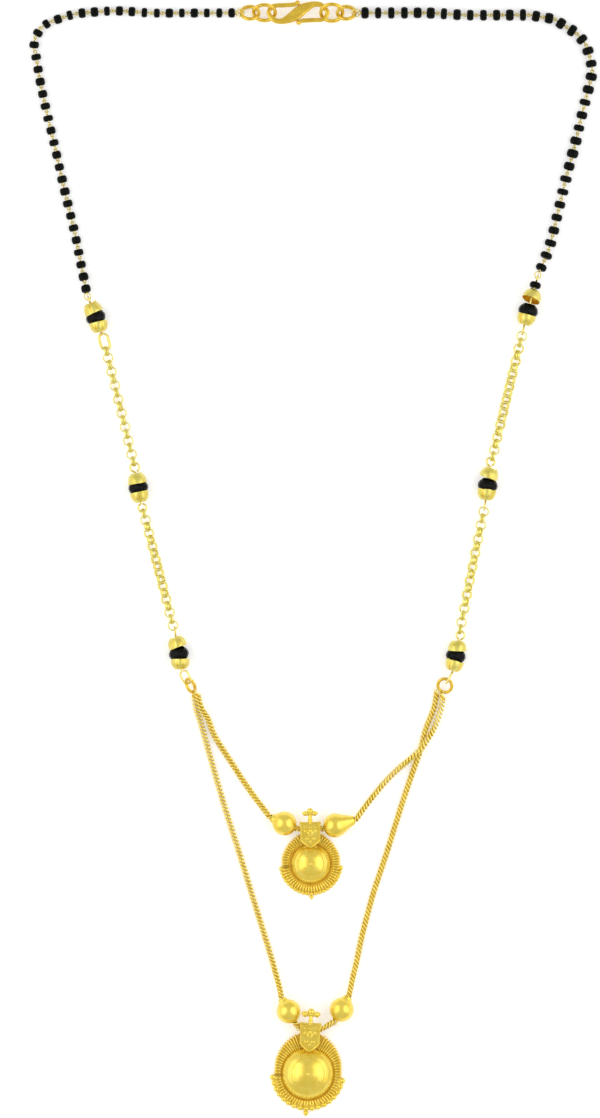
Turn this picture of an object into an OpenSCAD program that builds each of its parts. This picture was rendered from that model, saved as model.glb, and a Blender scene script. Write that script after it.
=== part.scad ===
// Mangalsutra laid out flat: black bead strings, rolo chains with capped beads, two fine chains
// and two domed pendants, closed with an S-hook. The back of the neck is at +Y, the pendants at -Y,
// and everything rests on z = 0. Millimetres.

/* [Clasp] */
// Distance from the middle of the necklace up to the clasp
clasp_y = 128; // [120:0.5:136]
// Sideways place of the middle of the hook
hook_x = -3.5; // [-4:0.5:4]
// Length of the S-hook over its two ends
hook_len = 14.6; // [13:0.2:16]
// Width of the S-hook over its two knobs
hook_w = 5.8; // [5.5:0.1:6.5]
// Wire diameter of the hook, whose middle is hammered flat
hook_wire = 0.85; // [0.7:0.05:0.9]
// Width of the hook's diagonal band
hook_mid_w = 2.4; // [1.8:0.1:2.5]
// Diameter of the knob at each tip of the hook
hook_knob_d = 1.2; // [1:0.1:1.3]
// Outer diameter of the large ring on each side of the hook
big_ring_d = 6; // [5.8:0.1:6.6]
// Wire diameter of the large ring
big_ring_wire = 0.9; // [0.7:0.05:0.95]
// Lean of the large ring on the left
left_ring_tilt = 48; // [44:1:52]
// Lean of the large ring on the right
right_ring_tilt = 43; // [42:1:48]
// Outer diameter of the small ring next to each bead string
small_ring_d = 5; // [4.7:0.1:5.5]
// Wire diameter of the small ring
small_ring_wire = 0.9; // [0.7:0.1:1]
// Lean of the small rings, the other way
small_ring_tilt = 42; // [38:1:46]

/* [Bead strings] */
// Diameter of the seed beads on the left string
left_bead_d = 2.3; // [2:0.1:3]
// Diameter of the seed beads on the right string
right_bead_d = 2.7; // [2:0.1:3]

/* [Capped beads] */
// Diameter of the cut black bead
black_bead_d = 4.7; // [4.4:0.1:5.4]
// Length of the cut black bead
black_bead_len = 3.4; // [3:0.1:3.8]
// Diameter of the hole through the cut black bead
black_bead_hole = 1; // [0.8:0.1:1.2]
// Facets round the cut black bead
black_bead_facets = 12; // [8:2:12]
// Outer diameter of a bead cap at its mouth
cap_d = 4.3; // [4.2:0.05:4.5]
// Wall of a bead cap at its mouth
cap_wall = 0.15; // [0.13:0.01:0.18]
// Distance from the middle of the bead to the mouth of a cap
cap_mouth = 0.9; // [0.9:0.05:1.2]
// Distance from the middle of the bead to the end of a cap
cap_end = 3.35; // [3.2:0.05:3.6]
// Diameter of the hole in the end of a cap
cap_hole = 1.7; // [1.6:0.1:1.8]
// Petals round a bead cap
cap_petals = 8; // [6:1:10]
// Depth of the flutes between the petals
cap_flute = 0.06; // [0.02:0.01:0.08]
// Wire diameter of the eye pins
pin_d = 0.5; // [0.4:0.05:0.6]
// Hole of the eyes that take a rolo link
link_eye = 1.4; // [1.35:0.05:1.6]
// Hole of the two wide eyes at the ends of the upper rolo chain on the left
wide_eye = 1.6; // [1.5:0.05:1.7]
// Hole of the small eye that takes a bead string
string_eye = 0.7; // [0.6:0.05:1]
// Hole of the long eye that takes a junction ring
ring_eye = 1.4; // [1.35:0.05:1.5]
// Length of pin that the seed bead above the highest cap on the right takes
seed_room = 2; // [1.8:0.1:2.4]
// How far that cap has tipped about its end, so that its mouth looks up
cap_tip = 20; // [0:2:24]
// How much longer than wide the long eye below the highest bead on the left is
eye_stretch = 1.7; // [1.5:0.1:1.9]
// How much longer than wide the eyes that take a junction ring are
ring_eye_stretch = 1.3; // [1.1:0.1:1.5]

/* [Rolo chains] */
// Outer diameter of a rolo link
link_d = 2.5; // [2.4:0.05:2.6]
// Wall of a rolo link
link_wall = 0.27; // [0.2:0.01:0.28]
// Width of a rolo link along its axis
link_w = 0.9; // [0.6:0.05:0.95]

/* [Fine chains] */
// Diameter of the fine chains
chain_d = 1.5; // [1.2:0.05:1.6]
// Outer diameter of the ring that joins the two fine chains to a capped bead
junction_ring_d = 4.1; // [4:0.1:4.6]
// Wire diameter of the junction ring
junction_ring_wire = 0.8; // [0.6:0.05:0.85]

/* [Balls] */
// Diameter of the gold balls
ball_d = 5.7; // [5.4:0.1:5.9]
// Clearance between a fine chain and the bore that it runs in, all round
bore_clear = 0.12; // [0.12:0.01:0.2]
// Wall of the tapered neck at its end
neck_wall = 0.2; // [0.15:0.05:0.4]

/* [Pendants] */
// Diameter of the upper pendant's dome
upper_dome_d = 9.4; // [8.8:0.1:10]
// Height of the upper pendant's dome above its rim
upper_dome_h = 2.6; // [2:0.1:3]
// Diameter of the upper pendant's ribbed rim
upper_rim_d = 13.4; // [13:0.1:14.4]
// Diameter of the upper pendant's granules
upper_granule_d = 0.95; // [0.8:0.05:1.05]
// Granules round the upper pendant, with both ends
upper_granules = 21; // [17:2:23]
// Diameter of the lower pendant's dome
lower_dome_d = 12.2; // [11.6:0.1:12.8]
// Height of the lower pendant's dome above its rim
lower_dome_h = 3.2; // [2.6:0.1:3.6]
// Diameter of the lower pendant's ribbed rim
lower_rim_d = 15.6; // [15.4:0.1:16.2]
// Diameter of the lower pendant's granules
lower_granule_d = 1.2; // [1:0.05:1.3]
// Granules round the lower pendant, with both ends
lower_granules = 17; // [13:2:19]
// Thickness of the pendants' rims
rim_t = 1; // [0.8:0.1:1.4]
// Ribs in a full turn of a rim
rib_count = 52; // [40:4:52]
// Diameter of the ribs, which lie half sunk in the rim
rib_d = 0.44; // [0.3:0.02:0.46]
// Distance from the middle of the upper pendant to its bail
upper_bail_y = 8.3; // [8:0.1:9]
// Distance from the middle of the lower pendant to its bail
lower_bail_y = 10.5; // [10:0.1:11]
// Height of the bails' bore above the surface
bail_z = 2.6; // [2.3:0.1:3]
// Length of the tube in each bail
bail_len = 4.2; // [3.6:0.1:4.4]
// Wall of the tube in each bail
bail_wall = 0.45; // [0.35:0.05:0.6]
// Width of the shields
shield_w = 5.2; // [4.8:0.1:5.4]
// Length of the upper shield
upper_shield_len = 6.3; // [6:0.1:6.6]
// Length of the lower shield
lower_shield_len = 7.1; // [7:0.1:7.8]
// Thickness of the shields
shield_t = 0.6; // [0.5:0.05:0.9]
// Diameter of the top granule of each finial
finial_d = 1.4; // [1.2:0.05:1.5]

/* [Hidden] */

$fn = 48;
// Least room kept between loose pieces that are linked
gap = 0.1;
// Room between the end of a tube and the ring or eye that it hangs on
seat_gap = 0.25;
tube_sides = 8;

// An eye of a pin: hole, extra length, roll (0 lies flat, 90 stands upright) and swing from the pin's line.
// A capped bead: name, x, y, turn of its axis from +Y, turn of its upper and of its lower cap past that,
// how far the upper cap has slid up the pin, upper eye, lower eye, room for a seed bead above the cap, and
// tip of the upper cap
CAPPED_BEADS = [
    ["left_1", -51, 56.5, 21, 4, -7, 0, [string_eye, 0, 90, 0], [wide_eye, eye_stretch, 0, -6], 0, 0],
    ["left_2", -41, 16.5, 10, 1, 2, 0.05, [wide_eye, 0, 0, 0], [link_eye, 0, 0, 5], 0, 0],
    ["left_3", -31.5, -22.5, 10, 10, -8, 0.3, [link_eye, 0, 90, 4],
        [ring_eye, ring_eye_stretch, -15, 19], 0, 0],
    ["right_1", 50.5, 58, -15.5, -8, 0, 1.3, [string_eye, 0, 90, 0], [link_eye, 0, 90, 4],
        seed_room, cap_tip],
    ["right_2", 41, 17, -8, -13, 1, 0.4, [link_eye, 0, 0, -5], [link_eye, 0, 90, 0], 0, 0],
    ["right_3", 33.5, -23, -11, 8, -6, 0, [link_eye, 0, 0, 8],
        [link_eye, 0.7 * ring_eye_stretch, 90, -18], 0, 0]];

// Where each ball lies: name, x, y, heading of the chain through it towards the bail, how far its neck
// reaches from its middle as a share of its diameter, and where the neck leaves the ball
BALLS = [
    ["upper_left", -6.7, -62.3, -23, 0.59, 0.75],
    ["upper_right", 5.2, -62.75, 196, 0.82, 0.55],
    ["lower_left", -5.7, -106.4, -62, 0.6, 0.75],
    ["lower_right", 6.7, -106, 243, 0.6, 0.7]];

// Places of the two pendants' middles, with their turn
UPPER_AT = [-0.5, -71.8];
UPPER_TURN = 1;
LOWER_AT = [-1.2, -121.1];
LOWER_TURN = -3;

// Routes, as [x, y, lift]: lift is the height above lying on the surface, as a share of the thickness
LEFT_STRING = [
    [-23, 128, 0], [-30, 128, 0], [-38, 128, 0], [-46, 128.5, 0], [-54, 128, 0], [-57, 127.5, 0],
    [-60, 126.5, 0], [-62.5, 125.5, 0], [-64.5, 123.5, 0], [-65.5, 120.5, 0], [-65, 117.5, 0],
    [-64, 111.5, 0], [-62.5, 104.5, 0], [-60.5, 96, 0], [-58.5, 87, 0], [-56, 76.5, 0], [-54.5, 69, 0]];
RIGHT_STRING = [
    [17, 128, 0], [27, 128, 0], [36, 127.5, 0], [45, 127.5, 0], [50.5, 127.5, 0], [53.5, 127, 0],
    [56.5, 126.5, 0], [59, 125, 0], [62, 123, 0], [64, 120.5, 0], [65, 117.5, 0], [65.5, 114.5, 0],
    [65, 111.5, 0], [63.5, 105.5, 0], [61.5, 97, 0], [59.5, 89.5, 0], [57.5, 81, 0], [55.5, 73, 0]];
LEFT_INNER = [
    [-26.2, -35.2, 0.9], [-24.6, -38, 0.25], [-23.5, -41, 0], [-22, -43.7, 0], [-19.2, -48, 0],
    [-16.5, -52.2, 0.05], [-14, -55.8, 0.4], [-12, -58.4, 0.9]];
LEFT_OUTER = [
    [-27.5, -35.2, 0], [-26.6, -38, 0], [-25, -43.7, 0], [-22.6, -52.2, 0], [-20.1, -60.6, 0],
    [-17.4, -69, 0], [-14.8, -77.6, 0], [-12.2, -86, 0], [-9.9, -93.5, 0.1], [-8.6, -98.2, 0.5],
    [-7.8, -101.2, 0.95]];
RIGHT_INNER = [
    [30.1, -35.3, 0.5], [28.6, -39.6, 0.5], [27, -42.4, 1.05], [25.5, -44.6, 1.25],
    [23.4, -46.7, 1.05], [20.1, -49.5, 0.15], [17.3, -52.2, 0.05], [14.9, -55, 0.3], [12.5, -58, 0.9]];
RIGHT_OUTER = [
    [28.4, -35.3, 0], [26.7, -39.6, 0], [25.9, -42.4, 0], [25.4, -44.6, 0], [24.7, -46.7, 0],
    [23.7, -49.5, 0], [20.9, -57.8, 0], [17.4, -69, 0], [15.4, -75, 0], [13.7, -80.4, 0], [11.5, -88.8, 0],
    [10.3, -94.5, 0.2], [9.4, -98.2, 0.6], [8.9, -100.5, 0.95]];

// The S-hook's middle line from its centre to one tip: shares of half its length, half its width and of
// the way from the wire's width to the band's
HOOK_HALF = [
    [0, 0, 1], [0.19, 0.33, 0.87], [0.52, 0.67, 0.25], [0.8, 0.6, 0.1], [1, 0.03, 0],
    [0.86, -0.52, 0], [0.48, -0.6, 0], [0.19, -0.64, 0], [0.07, -0.7, 0]];

// The outside and the inside of a bead cap: shares of the mouth's radius and of the way from the mouth to
// the end
CAP_OUTSIDE = [[1, 0], [1, 0.3], [0.9, 0.6], [0.7, 0.85], [0.52, 1]];
CAP_INSIDE = [[0.36, 1], [0.36, 0.8], [0.64, 0.7], [0.86, 0.42], [0.88, 0]];

// The shoulders of the pendants' rims, as shares of the rim's radius
UPPER_SHOULDER = [
    [0.995, 0], [0.99, 0.22], [0.9, 0.46], [0.76, 0.68], [0.6, 0.84], [0.47, 0.95], [0.38, 1.03]];
LOWER_SHOULDER = [
    [0.995, 0], [0.98, 0.29], [0.91, 0.54], [0.8, 0.75], [0.67, 0.91], [0.52, 1.04], [0.41, 1.12],
    [0.33, 1.19]];

// A point on the smooth curve through four, at t from the second to the third
function between(a, b, c, d, t) =
    0.5 * (2 * b + (c - a) * t + (2 * a - 5 * b + 4 * c - d) * t * t + (3 * b - a - 3 * c + d) * t * t * t);
function smooth(pts, steps) = [
    for (i = [0 : len(pts) - 2], k = [0 : steps - 1])
        between(pts[max(i - 1, 0)], pts[i], pts[i + 1], pts[min(i + 2, len(pts) - 1)], k / steps),
    pts[len(pts) - 1]];
function unit(v) = v / norm(v);
function reversed(list) = [for (i = [len(list) - 1 : -1 : 0]) list[i]];
function heading(a) = [cos(a), sin(a), 0];
// Direction along a line that runs at a turn from +Y
function up_line(turn) = [-sin(turn), cos(turn), 0];
function along(pts, i) = unit(pts[min(i + 1, len(pts) - 1)] - pts[max(i - 1, 0)]);
function lay(route, d) = [for (p = route) [p[0], p[1], d / 2 + p[2] * d]];
function on_floor(path, d) = [for (p = path) [p[0], p[1], max(p[2], d / 2)]];

// A tube of flat sides along a path, one ring of corners at each point, lying on a flat side
module tube(path, d) {
    n = tube_sides;
    r = d / 2 / cos(180 / n);
    rings = [
        for (i = [0 : len(path) - 1])
            let (t = along(path, i), side = unit(cross(t, [0, 0, 1])), up = cross(side, t))
                for (k = [0 : n - 1])
                    path[i] + r * (cos(360 * (k + 0.5) / n) * side + sin(360 * (k + 0.5) / n) * up)];
    ring_faces(rings, n);
}

// A closed body through rings of n corners
module ring_faces(rings, n) {
    last = len(rings) / n - 1;
    walls = [
        for (i = [0 : last - 1], k = [0 : n - 1])
            [i * n + k, i * n + (k + 1) % n, (i + 1) * n + (k + 1) % n, (i + 1) * n + k]];
    ends = [[for (k = [n - 1 : -1 : 0]) k], [for (k = [0 : n - 1]) last * n + k]];
    polyhedron(points = rings, faces = concat(walls, ends));
}

module wire_ring(outer_d, wire) {
    rotate_extrude() translate([outer_d / 2 - wire / 2, 0]) circle(d = wire, $fn = 24);
}

// Clasp, from the hook outwards
hook_end_x = hook_len / 2 - hook_wire / 2;
// How far each ring is from pulling tight on the hook and on the next ring
hook_room = 0.65;
ring_room = 0.3;
// Sideways steps from the hook's middle to the large ring and from there to the small one
big_ring_step = hook_end_x + big_ring_d / 2 - big_ring_wire - hook_wire / 2 - hook_room;
small_ring_step = (big_ring_d + small_ring_d) / 2 - big_ring_wire - small_ring_wire - ring_room;
small_ring_z = (small_ring_d - small_ring_wire) / 2 * sin(small_ring_tilt) + small_ring_wire / 2;
hook_z = (big_ring_d - big_ring_wire) / 2 * sin(max(left_ring_tilt, right_ring_tilt)) + big_ring_wire / 2;

// One flattened wire, round where it is narrow: path of [x, y, width]
module hammered_wire(path, wire) {
    n = 12;
    flat = [for (p = path) [p[0], p[1], 0]];
    rings = [
        for (i = [0 : len(path) - 1])
            let (side = unit(cross(along(flat, i), [0, 0, 1])), spread = max(path[i][2] - wire, 0) / 2)
                for (k = [0 : n - 1])
                    let (a = 360 * (k + 0.5) / n)
                        flat[i] + (wire / 2 * cos(a) + sign(cos(a)) * spread) * side
                        + [0, 0, wire / 2 * sin(a)]];
    ring_faces(rings, n);
}

module clasp_hook() {
    half = [for (p = HOOK_HALF) [p[0] * hook_end_x, p[1] * hook_w / 2,
        hook_wire + p[2] * (hook_mid_w - hook_wire)]];
    other = [for (i = [len(half) - 1 : -1 : 1]) [-half[i][0], -half[i][1], half[i][2]]];
    color("gold") translate([hook_x, clasp_y, hook_z]) {
        hammered_wire(smooth(concat(other, half), 3), hook_wire);
        for (s = [-1, 1]) translate([-s * 0.15, s * (hook_w - hook_knob_d) / 2, 0])
            sphere(d = hook_knob_d, $fn = 24);
    }
}

module clasp_ring_big(side) {
    tilt = side < 0 ? left_ring_tilt : right_ring_tilt;
    color("gold") translate([hook_x + side * big_ring_step, clasp_y, hook_z]) rotate([tilt, 0, 0])
        wire_ring(big_ring_d, big_ring_wire);
}

module clasp_ring_small(side) {
    color("gold") translate([hook_x + side * (big_ring_step + small_ring_step), clasp_y, small_ring_z])
        rotate([-small_ring_tilt, 0, 0]) wire_ring(small_ring_d, small_ring_wire);
}

// Just past the outer edge of a small clasp ring, where a bead string starts
function string_end(side, d) = [
    hook_x + side * (big_ring_step + small_ring_step + small_ring_d / 2 + seat_gap), clasp_y,
    max(d / 2, small_ring_z)];

// Capped beads. Each lies with its axis level, its bead on the surface
bead_z = black_bead_d / 2;
function bead_at(b) = [b[1], b[2], bead_z];
// A cap that leans also moves out along the pin
function cap_slide(turn) = 0.035 * abs(turn);
// The pin's eyes start past the raised edge of a leaning cap
lean_room = 1.3;
function upper_neck(b) = cap_end + b[6] + lean_room * cap_slide(b[4]) + gap + b[9];
function lower_neck(b) = cap_end + lean_room * cap_slide(b[5]) + 2 * gap;
function eye_half(e) = (e[0] + e[1]) / 2 + pin_d;
function upper_eye(b) =
    bead_at(b) + upper_neck(b) * up_line(b[3]) + eye_half(b[7]) * up_line(b[3] + b[7][3]);
function lower_eye(b) =
    bead_at(b) - lower_neck(b) * up_line(b[3]) - eye_half(b[8]) * up_line(b[3] + b[8][3]);

// Children stand with their axis upright and come to lie along the bead's axis
module on_bead(b) {
    translate(bead_at(b)) rotate([0, 0, b[3]]) rotate([-90, 0, 0]) children();
}

module black_bead(b) {
    waist = 0.7 * black_bead_d / 2;
    end = 0.47 * black_bead_d / 2;
    tall = black_bead_len / 2;
    half = [[end, tall], [waist, 0.53 * tall], [black_bead_d / 2, 0.15 * tall]];
    color("#111111") on_bead(b) rotate_extrude($fn = black_bead_facets)
        polygon(concat([[black_bead_hole / 2, tall]], half, [for (p = reversed(half)) [p[0], -p[1]]],
            [[black_bead_hole / 2, -tall]]));
}

// A fluted cup with its mouth down at cap_mouth and a hole in its end
module fluted_cup() {
    mouth_r = cap_d / 2;
    depth = cap_end - cap_mouth;
    n = 2 * cap_petals;
    inside_top = (mouth_r - cap_wall) / (0.88 * mouth_r);
    profile = concat(
        [for (p = CAP_OUTSIDE) [p[0] * mouth_r, cap_mouth + p[1] * depth, 1]],
        [for (i = [0 : len(CAP_INSIDE) - 1]) let (p = CAP_INSIDE[i])
            [i < 2 ? cap_hole / 2 : p[0] * mouth_r * inside_top, cap_mouth + p[1] * depth, i < 2 ? 0 : 1]]);
    m = len(profile);
    points = [
        for (p = profile, k = [0 : n - 1])
            let (r = p[0] - p[2] * (k % 2) * cap_flute * p[0] / mouth_r)
                [r * cos(180 * k / cap_petals), r * sin(180 * k / cap_petals), p[1]]];
    polyhedron(points = points, faces = [
        for (j = [0 : m - 1], k = [0 : n - 1])
            let (j2 = (j + 1) % m, k2 = (k + 1) % n)
                [j * n + k, j2 * n + k, j2 * n + k2, j * n + k2]]);
}

// A cap turns a little about a point between the bead's middle and the cap's end
cap_pivot = 0.5 * cap_end;
module bead_cap(b, upper) {
    turn = upper ? b[4] : b[5];
    slide = (upper ? b[6] : 0) + cap_slide(turn);
    tip = upper ? b[10] : 0;
    color("gold") on_bead(b) mirror([0, 0, upper ? 0 : 1])
        translate([0, 0, cap_end + slide]) rotate([-tip, 0, 0])
            translate([0, 0, cap_pivot - cap_end]) rotate([0, upper ? -turn : turn, 0])
                translate([0, 0, -cap_pivot]) fluted_cup();
}

// An eye that hangs below the origin, rolled about the pin's line
module eye(e) {
    r = e[0] / 2 + pin_d / 2;
    translate([0, 0, -eye_half(e)]) rotate([0, 0, e[2]]) rotate([90, 0, 0]) {
        for (s = [0, 1]) rotate([0, 0, 180 * s]) translate([0, e[1] / 2, 0])
            rotate_extrude(angle = 180) translate([r, 0]) circle(d = pin_d, $fn = 24);
        if (e[1] > 0) for (s = [-1, 1]) translate([s * r, 0, 0]) rotate([90, 0, 0])
            cylinder(d = pin_d, h = e[1], center = true, $fn = 24);
    }
}

module eye_pin(b) {
    top = upper_neck(b) + pin_d / 2;
    bottom = lower_neck(b) + pin_d / 2;
    color("goldenrod") on_bead(b) {
        translate([0, 0, -bottom]) cylinder(d = pin_d, h = top + bottom, $fn = 24);
        translate([0, 0, upper_neck(b)]) rotate([0, -b[7][3], 0]) mirror([0, 0, 1]) eye(b[7]);
        translate([0, 0, -lower_neck(b)]) rotate([0, -b[8][3], 0]) eye(b[8]);
    }
}

// Rolo chains: upright and flat links by turns, from a capped bead's lower eye to the next one's upper eye
link_inner_r = link_d / 2 - link_wall;
// How far two linked links, and a link and an eye, are from pulling tight
link_room = 0.27;
eye_room = 0.33;
link_pitch = 2 * link_inner_r - link_room;
eye_to_link = link_inner_r - eye_room;
// How far from a capped bead a chain comes down to the surface
chain_drop = 12;

module rolo_link() {
    rotate_extrude() translate([link_inner_r + link_wall / 2, 0]) {
        square([link_wall, link_w - link_wall], center = true);
        for (s = [-1, 1]) translate([0, s * (link_w - link_wall) / 2]) circle(d = link_wall, $fn = 16);
    }
}

function drop_off(s) = s >= chain_drop ? 0 : pow(1 - s / chain_drop, 2);

module rolo_chain(upper, lower) {
    a = lower_eye(upper);
    b = upper_eye(lower);
    start = (upper[8][0] + upper[8][1]) / 2 + eye_to_link;
    end = (lower[7][0] + lower[7][1]) / 2 + eye_to_link;
    run = unit(b - a);
    span = norm(b - a) - start - end;
    // The first and the last link each stand across the eye that they hang in
    first = upper[8][2] == 0 ? 0 : 1;
    odd = upper[8][2] == lower[7][2] ? 1 : 0;
    least = ceil(span / link_pitch) + 1;
    count = least + (least + odd) % 2;
    step = span / (count - 1);
    lift = bead_z - link_d / 2;
    color("gold") for (i = [0 : count - 1]) {
        s = start + i * step;
        left = norm(b - a) - s;
        slope = 2 * lift / chain_drop * ((s < chain_drop ? -(1 - s / chain_drop) : 0)
            + (left < chain_drop ? 1 - left / chain_drop : 0));
        at = a + s * run;
        translate([at[0], at[1], link_d / 2 + lift * (drop_off(s) + drop_off(left))])
            rotate([0, 0, atan2(run[1], run[0])]) rotate([0, -atan(slope), 0])
                rotate([(i + first) % 2 == 0 ? 90 : 0, 0, 0]) rolo_link();
    }
}

// Junction rings below the lowest capped beads: turn from +Y of the line from the eye through the ring,
// pitch down and roll of the ring
junction_slack = 0.3;
LEFT_JUNCTION = [31, 8, 60];
RIGHT_JUNCTION = [-30, 18, 0];
junction_r = (junction_ring_d - junction_ring_wire) / 2;
function junction_at(b, j) =
    lower_eye(b) - (junction_r * cos(j[1]) + (b[8][0] + b[8][1] - junction_ring_wire) / 2 - junction_slack)
    * up_line(j[0]) - [0, 0, junction_r * sin(j[1])];
// Where the fine chains start, just past the ring
strand_gap = 0.42;
function junction_end(b, j) =
    junction_at(b, j) - (junction_ring_d / 2 * cos(j[1]) + strand_gap) * up_line(j[0]);

module junction_ring(b, j) {
    color("gold") translate(junction_at(b, j)) rotate([0, 0, j[0]]) rotate([j[1], 0, 0])
        rotate([0, j[2], 0]) wire_ring(junction_ring_d, junction_ring_wire);
}

// Fine chains, each from the left junction ring through its pendant to the right one
ball_z = ball_d / 2;
ball_bore = round(100 * (chain_d / cos(180 / tube_sides) + 2 * bore_clear)) / 100;
function ball_at(b) = [b[1], b[2], ball_z];
function ball_in(b) = ball_at(b) - (b[4] * ball_d + 0.4) * heading(b[3]);
function ball_out(b) = ball_at(b) + (ball_d / 2 + 0.1) * heading(b[3]);

function rim_r(upper) = (upper ? upper_rim_d : lower_rim_d) / 2;
function bail_out_r() = ball_bore / 2 + bail_wall;
function bail_y(upper) = upper ? upper_bail_y : lower_bail_y;
function pendant_at(upper) = upper ? UPPER_AT : LOWER_AT;
function pendant_turn(upper) = upper ? UPPER_TURN : LOWER_TURN;
function bail_mouth(upper, side) =
    let (a = pendant_turn(upper), c = pendant_at(upper), x = side * (bail_len / 2 + 0.2), y = bail_y(upper))
        [c[0] + x * cos(a) - y * sin(a), c[1] + x * sin(a) + y * cos(a), bail_z];

left_ring_end = junction_end(CAPPED_BEADS[2], LEFT_JUNCTION);
right_ring_end = junction_end(CAPPED_BEADS[5], RIGHT_JUNCTION);
// Start of a strand at a junction ring: sideways step and lift
function strand_start(end, turn, apart, lift) =
    [end[0], end[1], chain_d / 2 + lift * chain_d] + apart * [cos(turn), sin(turn), 0];

inner_path = on_floor(concat(
    smooth(concat([strand_start(left_ring_end, LEFT_JUNCTION[0], 0.4, 1.15)], lay(LEFT_INNER, chain_d),
        [ball_in(BALLS[0])]), 2),
    [ball_out(BALLS[0]), bail_mouth(true, -1), bail_mouth(true, 1), ball_out(BALLS[1])],
    smooth(concat([ball_in(BALLS[1])], reversed(lay(RIGHT_INNER, chain_d)),
        [strand_start(right_ring_end, RIGHT_JUNCTION[0], 0.9, 0.5)]), 2)), chain_d);

outer_path = on_floor(concat(
    smooth(concat([strand_start(left_ring_end, LEFT_JUNCTION[0], -0.4, 0)], lay(LEFT_OUTER, chain_d),
        [ball_in(BALLS[2])]), 2),
    [ball_out(BALLS[2]), bail_mouth(false, -1), bail_mouth(false, 1), ball_out(BALLS[3])],
    smooth(concat([ball_in(BALLS[3])], reversed(lay(RIGHT_OUTER, chain_d)),
        [strand_start(right_ring_end, RIGHT_JUNCTION[0], -0.9, 0)]), 2)), chain_d);

module inner_chain() {
    color("gold") tube(inner_path, chain_d);
}

module outer_chain() {
    color("gold") tube(outer_path, chain_d);
}

// End of a bead string, just off the eye of the first capped bead
function string_foot(b) = upper_eye(b) + (eye_half(b[7]) + seat_gap) * up_line(b[3] + b[7][3]);
left_string_path = on_floor(smooth(concat([string_end(-1, left_bead_d)], lay(LEFT_STRING, left_bead_d),
    [string_foot(CAPPED_BEADS[0])]), 2), left_bead_d);
right_string_path = on_floor(smooth(concat([string_end(1, right_bead_d)], lay(RIGHT_STRING, right_bead_d),
    [string_foot(CAPPED_BEADS[3])]), 2), right_bead_d);

module bead_string_left() {
    color("#111111") tube(left_string_path, left_bead_d);
}

module bead_string_right() {
    color("#111111") tube(right_string_path, right_bead_d);
}

// A drilled ball with a tapered neck on the side away from the bail
module ball(b) {
    reach = b[4] * ball_d;
    neck_r = ball_bore / 2 + neck_wall;
    flank = b[5] * ball_d / 2;
    color("gold") translate(ball_at(b)) rotate([0, 0, b[3]]) rotate([0, 90, 0]) rotate_extrude()
        difference() {
            union() {
                intersection() {
                    circle(d = ball_d, $fn = 96);
                    translate([0, -ball_d / 2]) square([ball_d / 2, ball_d]);
                }
                polygon([[0, -reach], [neck_r, -reach],
                    [sqrt(ball_d * ball_d / 4 - flank * flank), -flank], [0, -flank]]);
            }
            translate([0, -ball_d]) square([ball_bore / 2, 2 * ball_d]);
        }
}

module rim_outline(upper) {
    r = rim_r(upper);
    right = [for (p = upper ? UPPER_SHOULDER : LOWER_SHOULDER) r * p];
    circle(r = r, $fn = 96);
    polygon(concat(right, [for (p = reversed(right)) [-p[0], p[1]]]));
}

module shield_outline(len) {
    w = shield_w / 2;
    polygon([[-w, 0], [-0.4 * w, -0.05 * len], [0.4 * w, -0.05 * len], [w, 0], [0.93 * w, -0.12 * len],
        [0.93 * w, -0.72 * len], [0.1 * w, -len], [-0.1 * w, -len], [-0.93 * w, -0.72 * len],
        [-0.93 * w, -0.12 * len]]);
}

// Raised seeds of a lotus pod on the shield
module shield_relief(len) {
    seeds = [[0, 0.46, 0.2], [0.42, 0.34, 0.15], [0.26, 0.64, 0.12], [0, 0.8, 0.12]];
    for (p = seeds, s = p[0] == 0 ? [1] : [-1, 1]) translate([s * p[0] * shield_w / 2, -p[1] * len, 0])
        sphere(r = p[2] * shield_w / 2, $fn = 24);
}

// Stem and three granules above the shield, with the spread of the two lower ones
module finial(spread) {
    stem = 1.9 * finial_d;
    low = stem - 0.38 * finial_d;
    rotate([-90, 0, 0]) translate([0, 0, -0.5]) cylinder(d = 0.7 * finial_d, h = stem + 0.5, $fn = 24);
    translate([-spread, low, 0]) rotate([0, 90, 0]) cylinder(d = 0.5 * finial_d, h = 2 * spread, $fn = 24);
    translate([0, stem, 0]) sphere(d = finial_d, $fn = 32);
    for (s = [-1, 1]) translate([s * spread, low, 0]) sphere(d = 0.82 * finial_d, $fn = 32);
}

// The domed boss: a spherical cap with one engraved line and a small point on top
module dome(dome_r, dome_h) {
    cap_r = (dome_r * dome_r + dome_h * dome_h) / (2 * dome_h);
    middle = rim_t + dome_h - cap_r;
    line_r = 0.66 * dome_r;
    rotate_extrude() difference() {
        intersection() {
            translate([0, middle]) circle(r = cap_r, $fn = 96);
            translate([0, rim_t / 2]) square([dome_r, dome_h + rim_t]);
        }
        translate([line_r, middle + sqrt(cap_r * cap_r - line_r * line_r)]) circle(r = 0.12, $fn = 16);
    }
    translate([0, 0, rim_t + dome_h - 0.15]) sphere(r = 0.3, $fn = 24);
}

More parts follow.
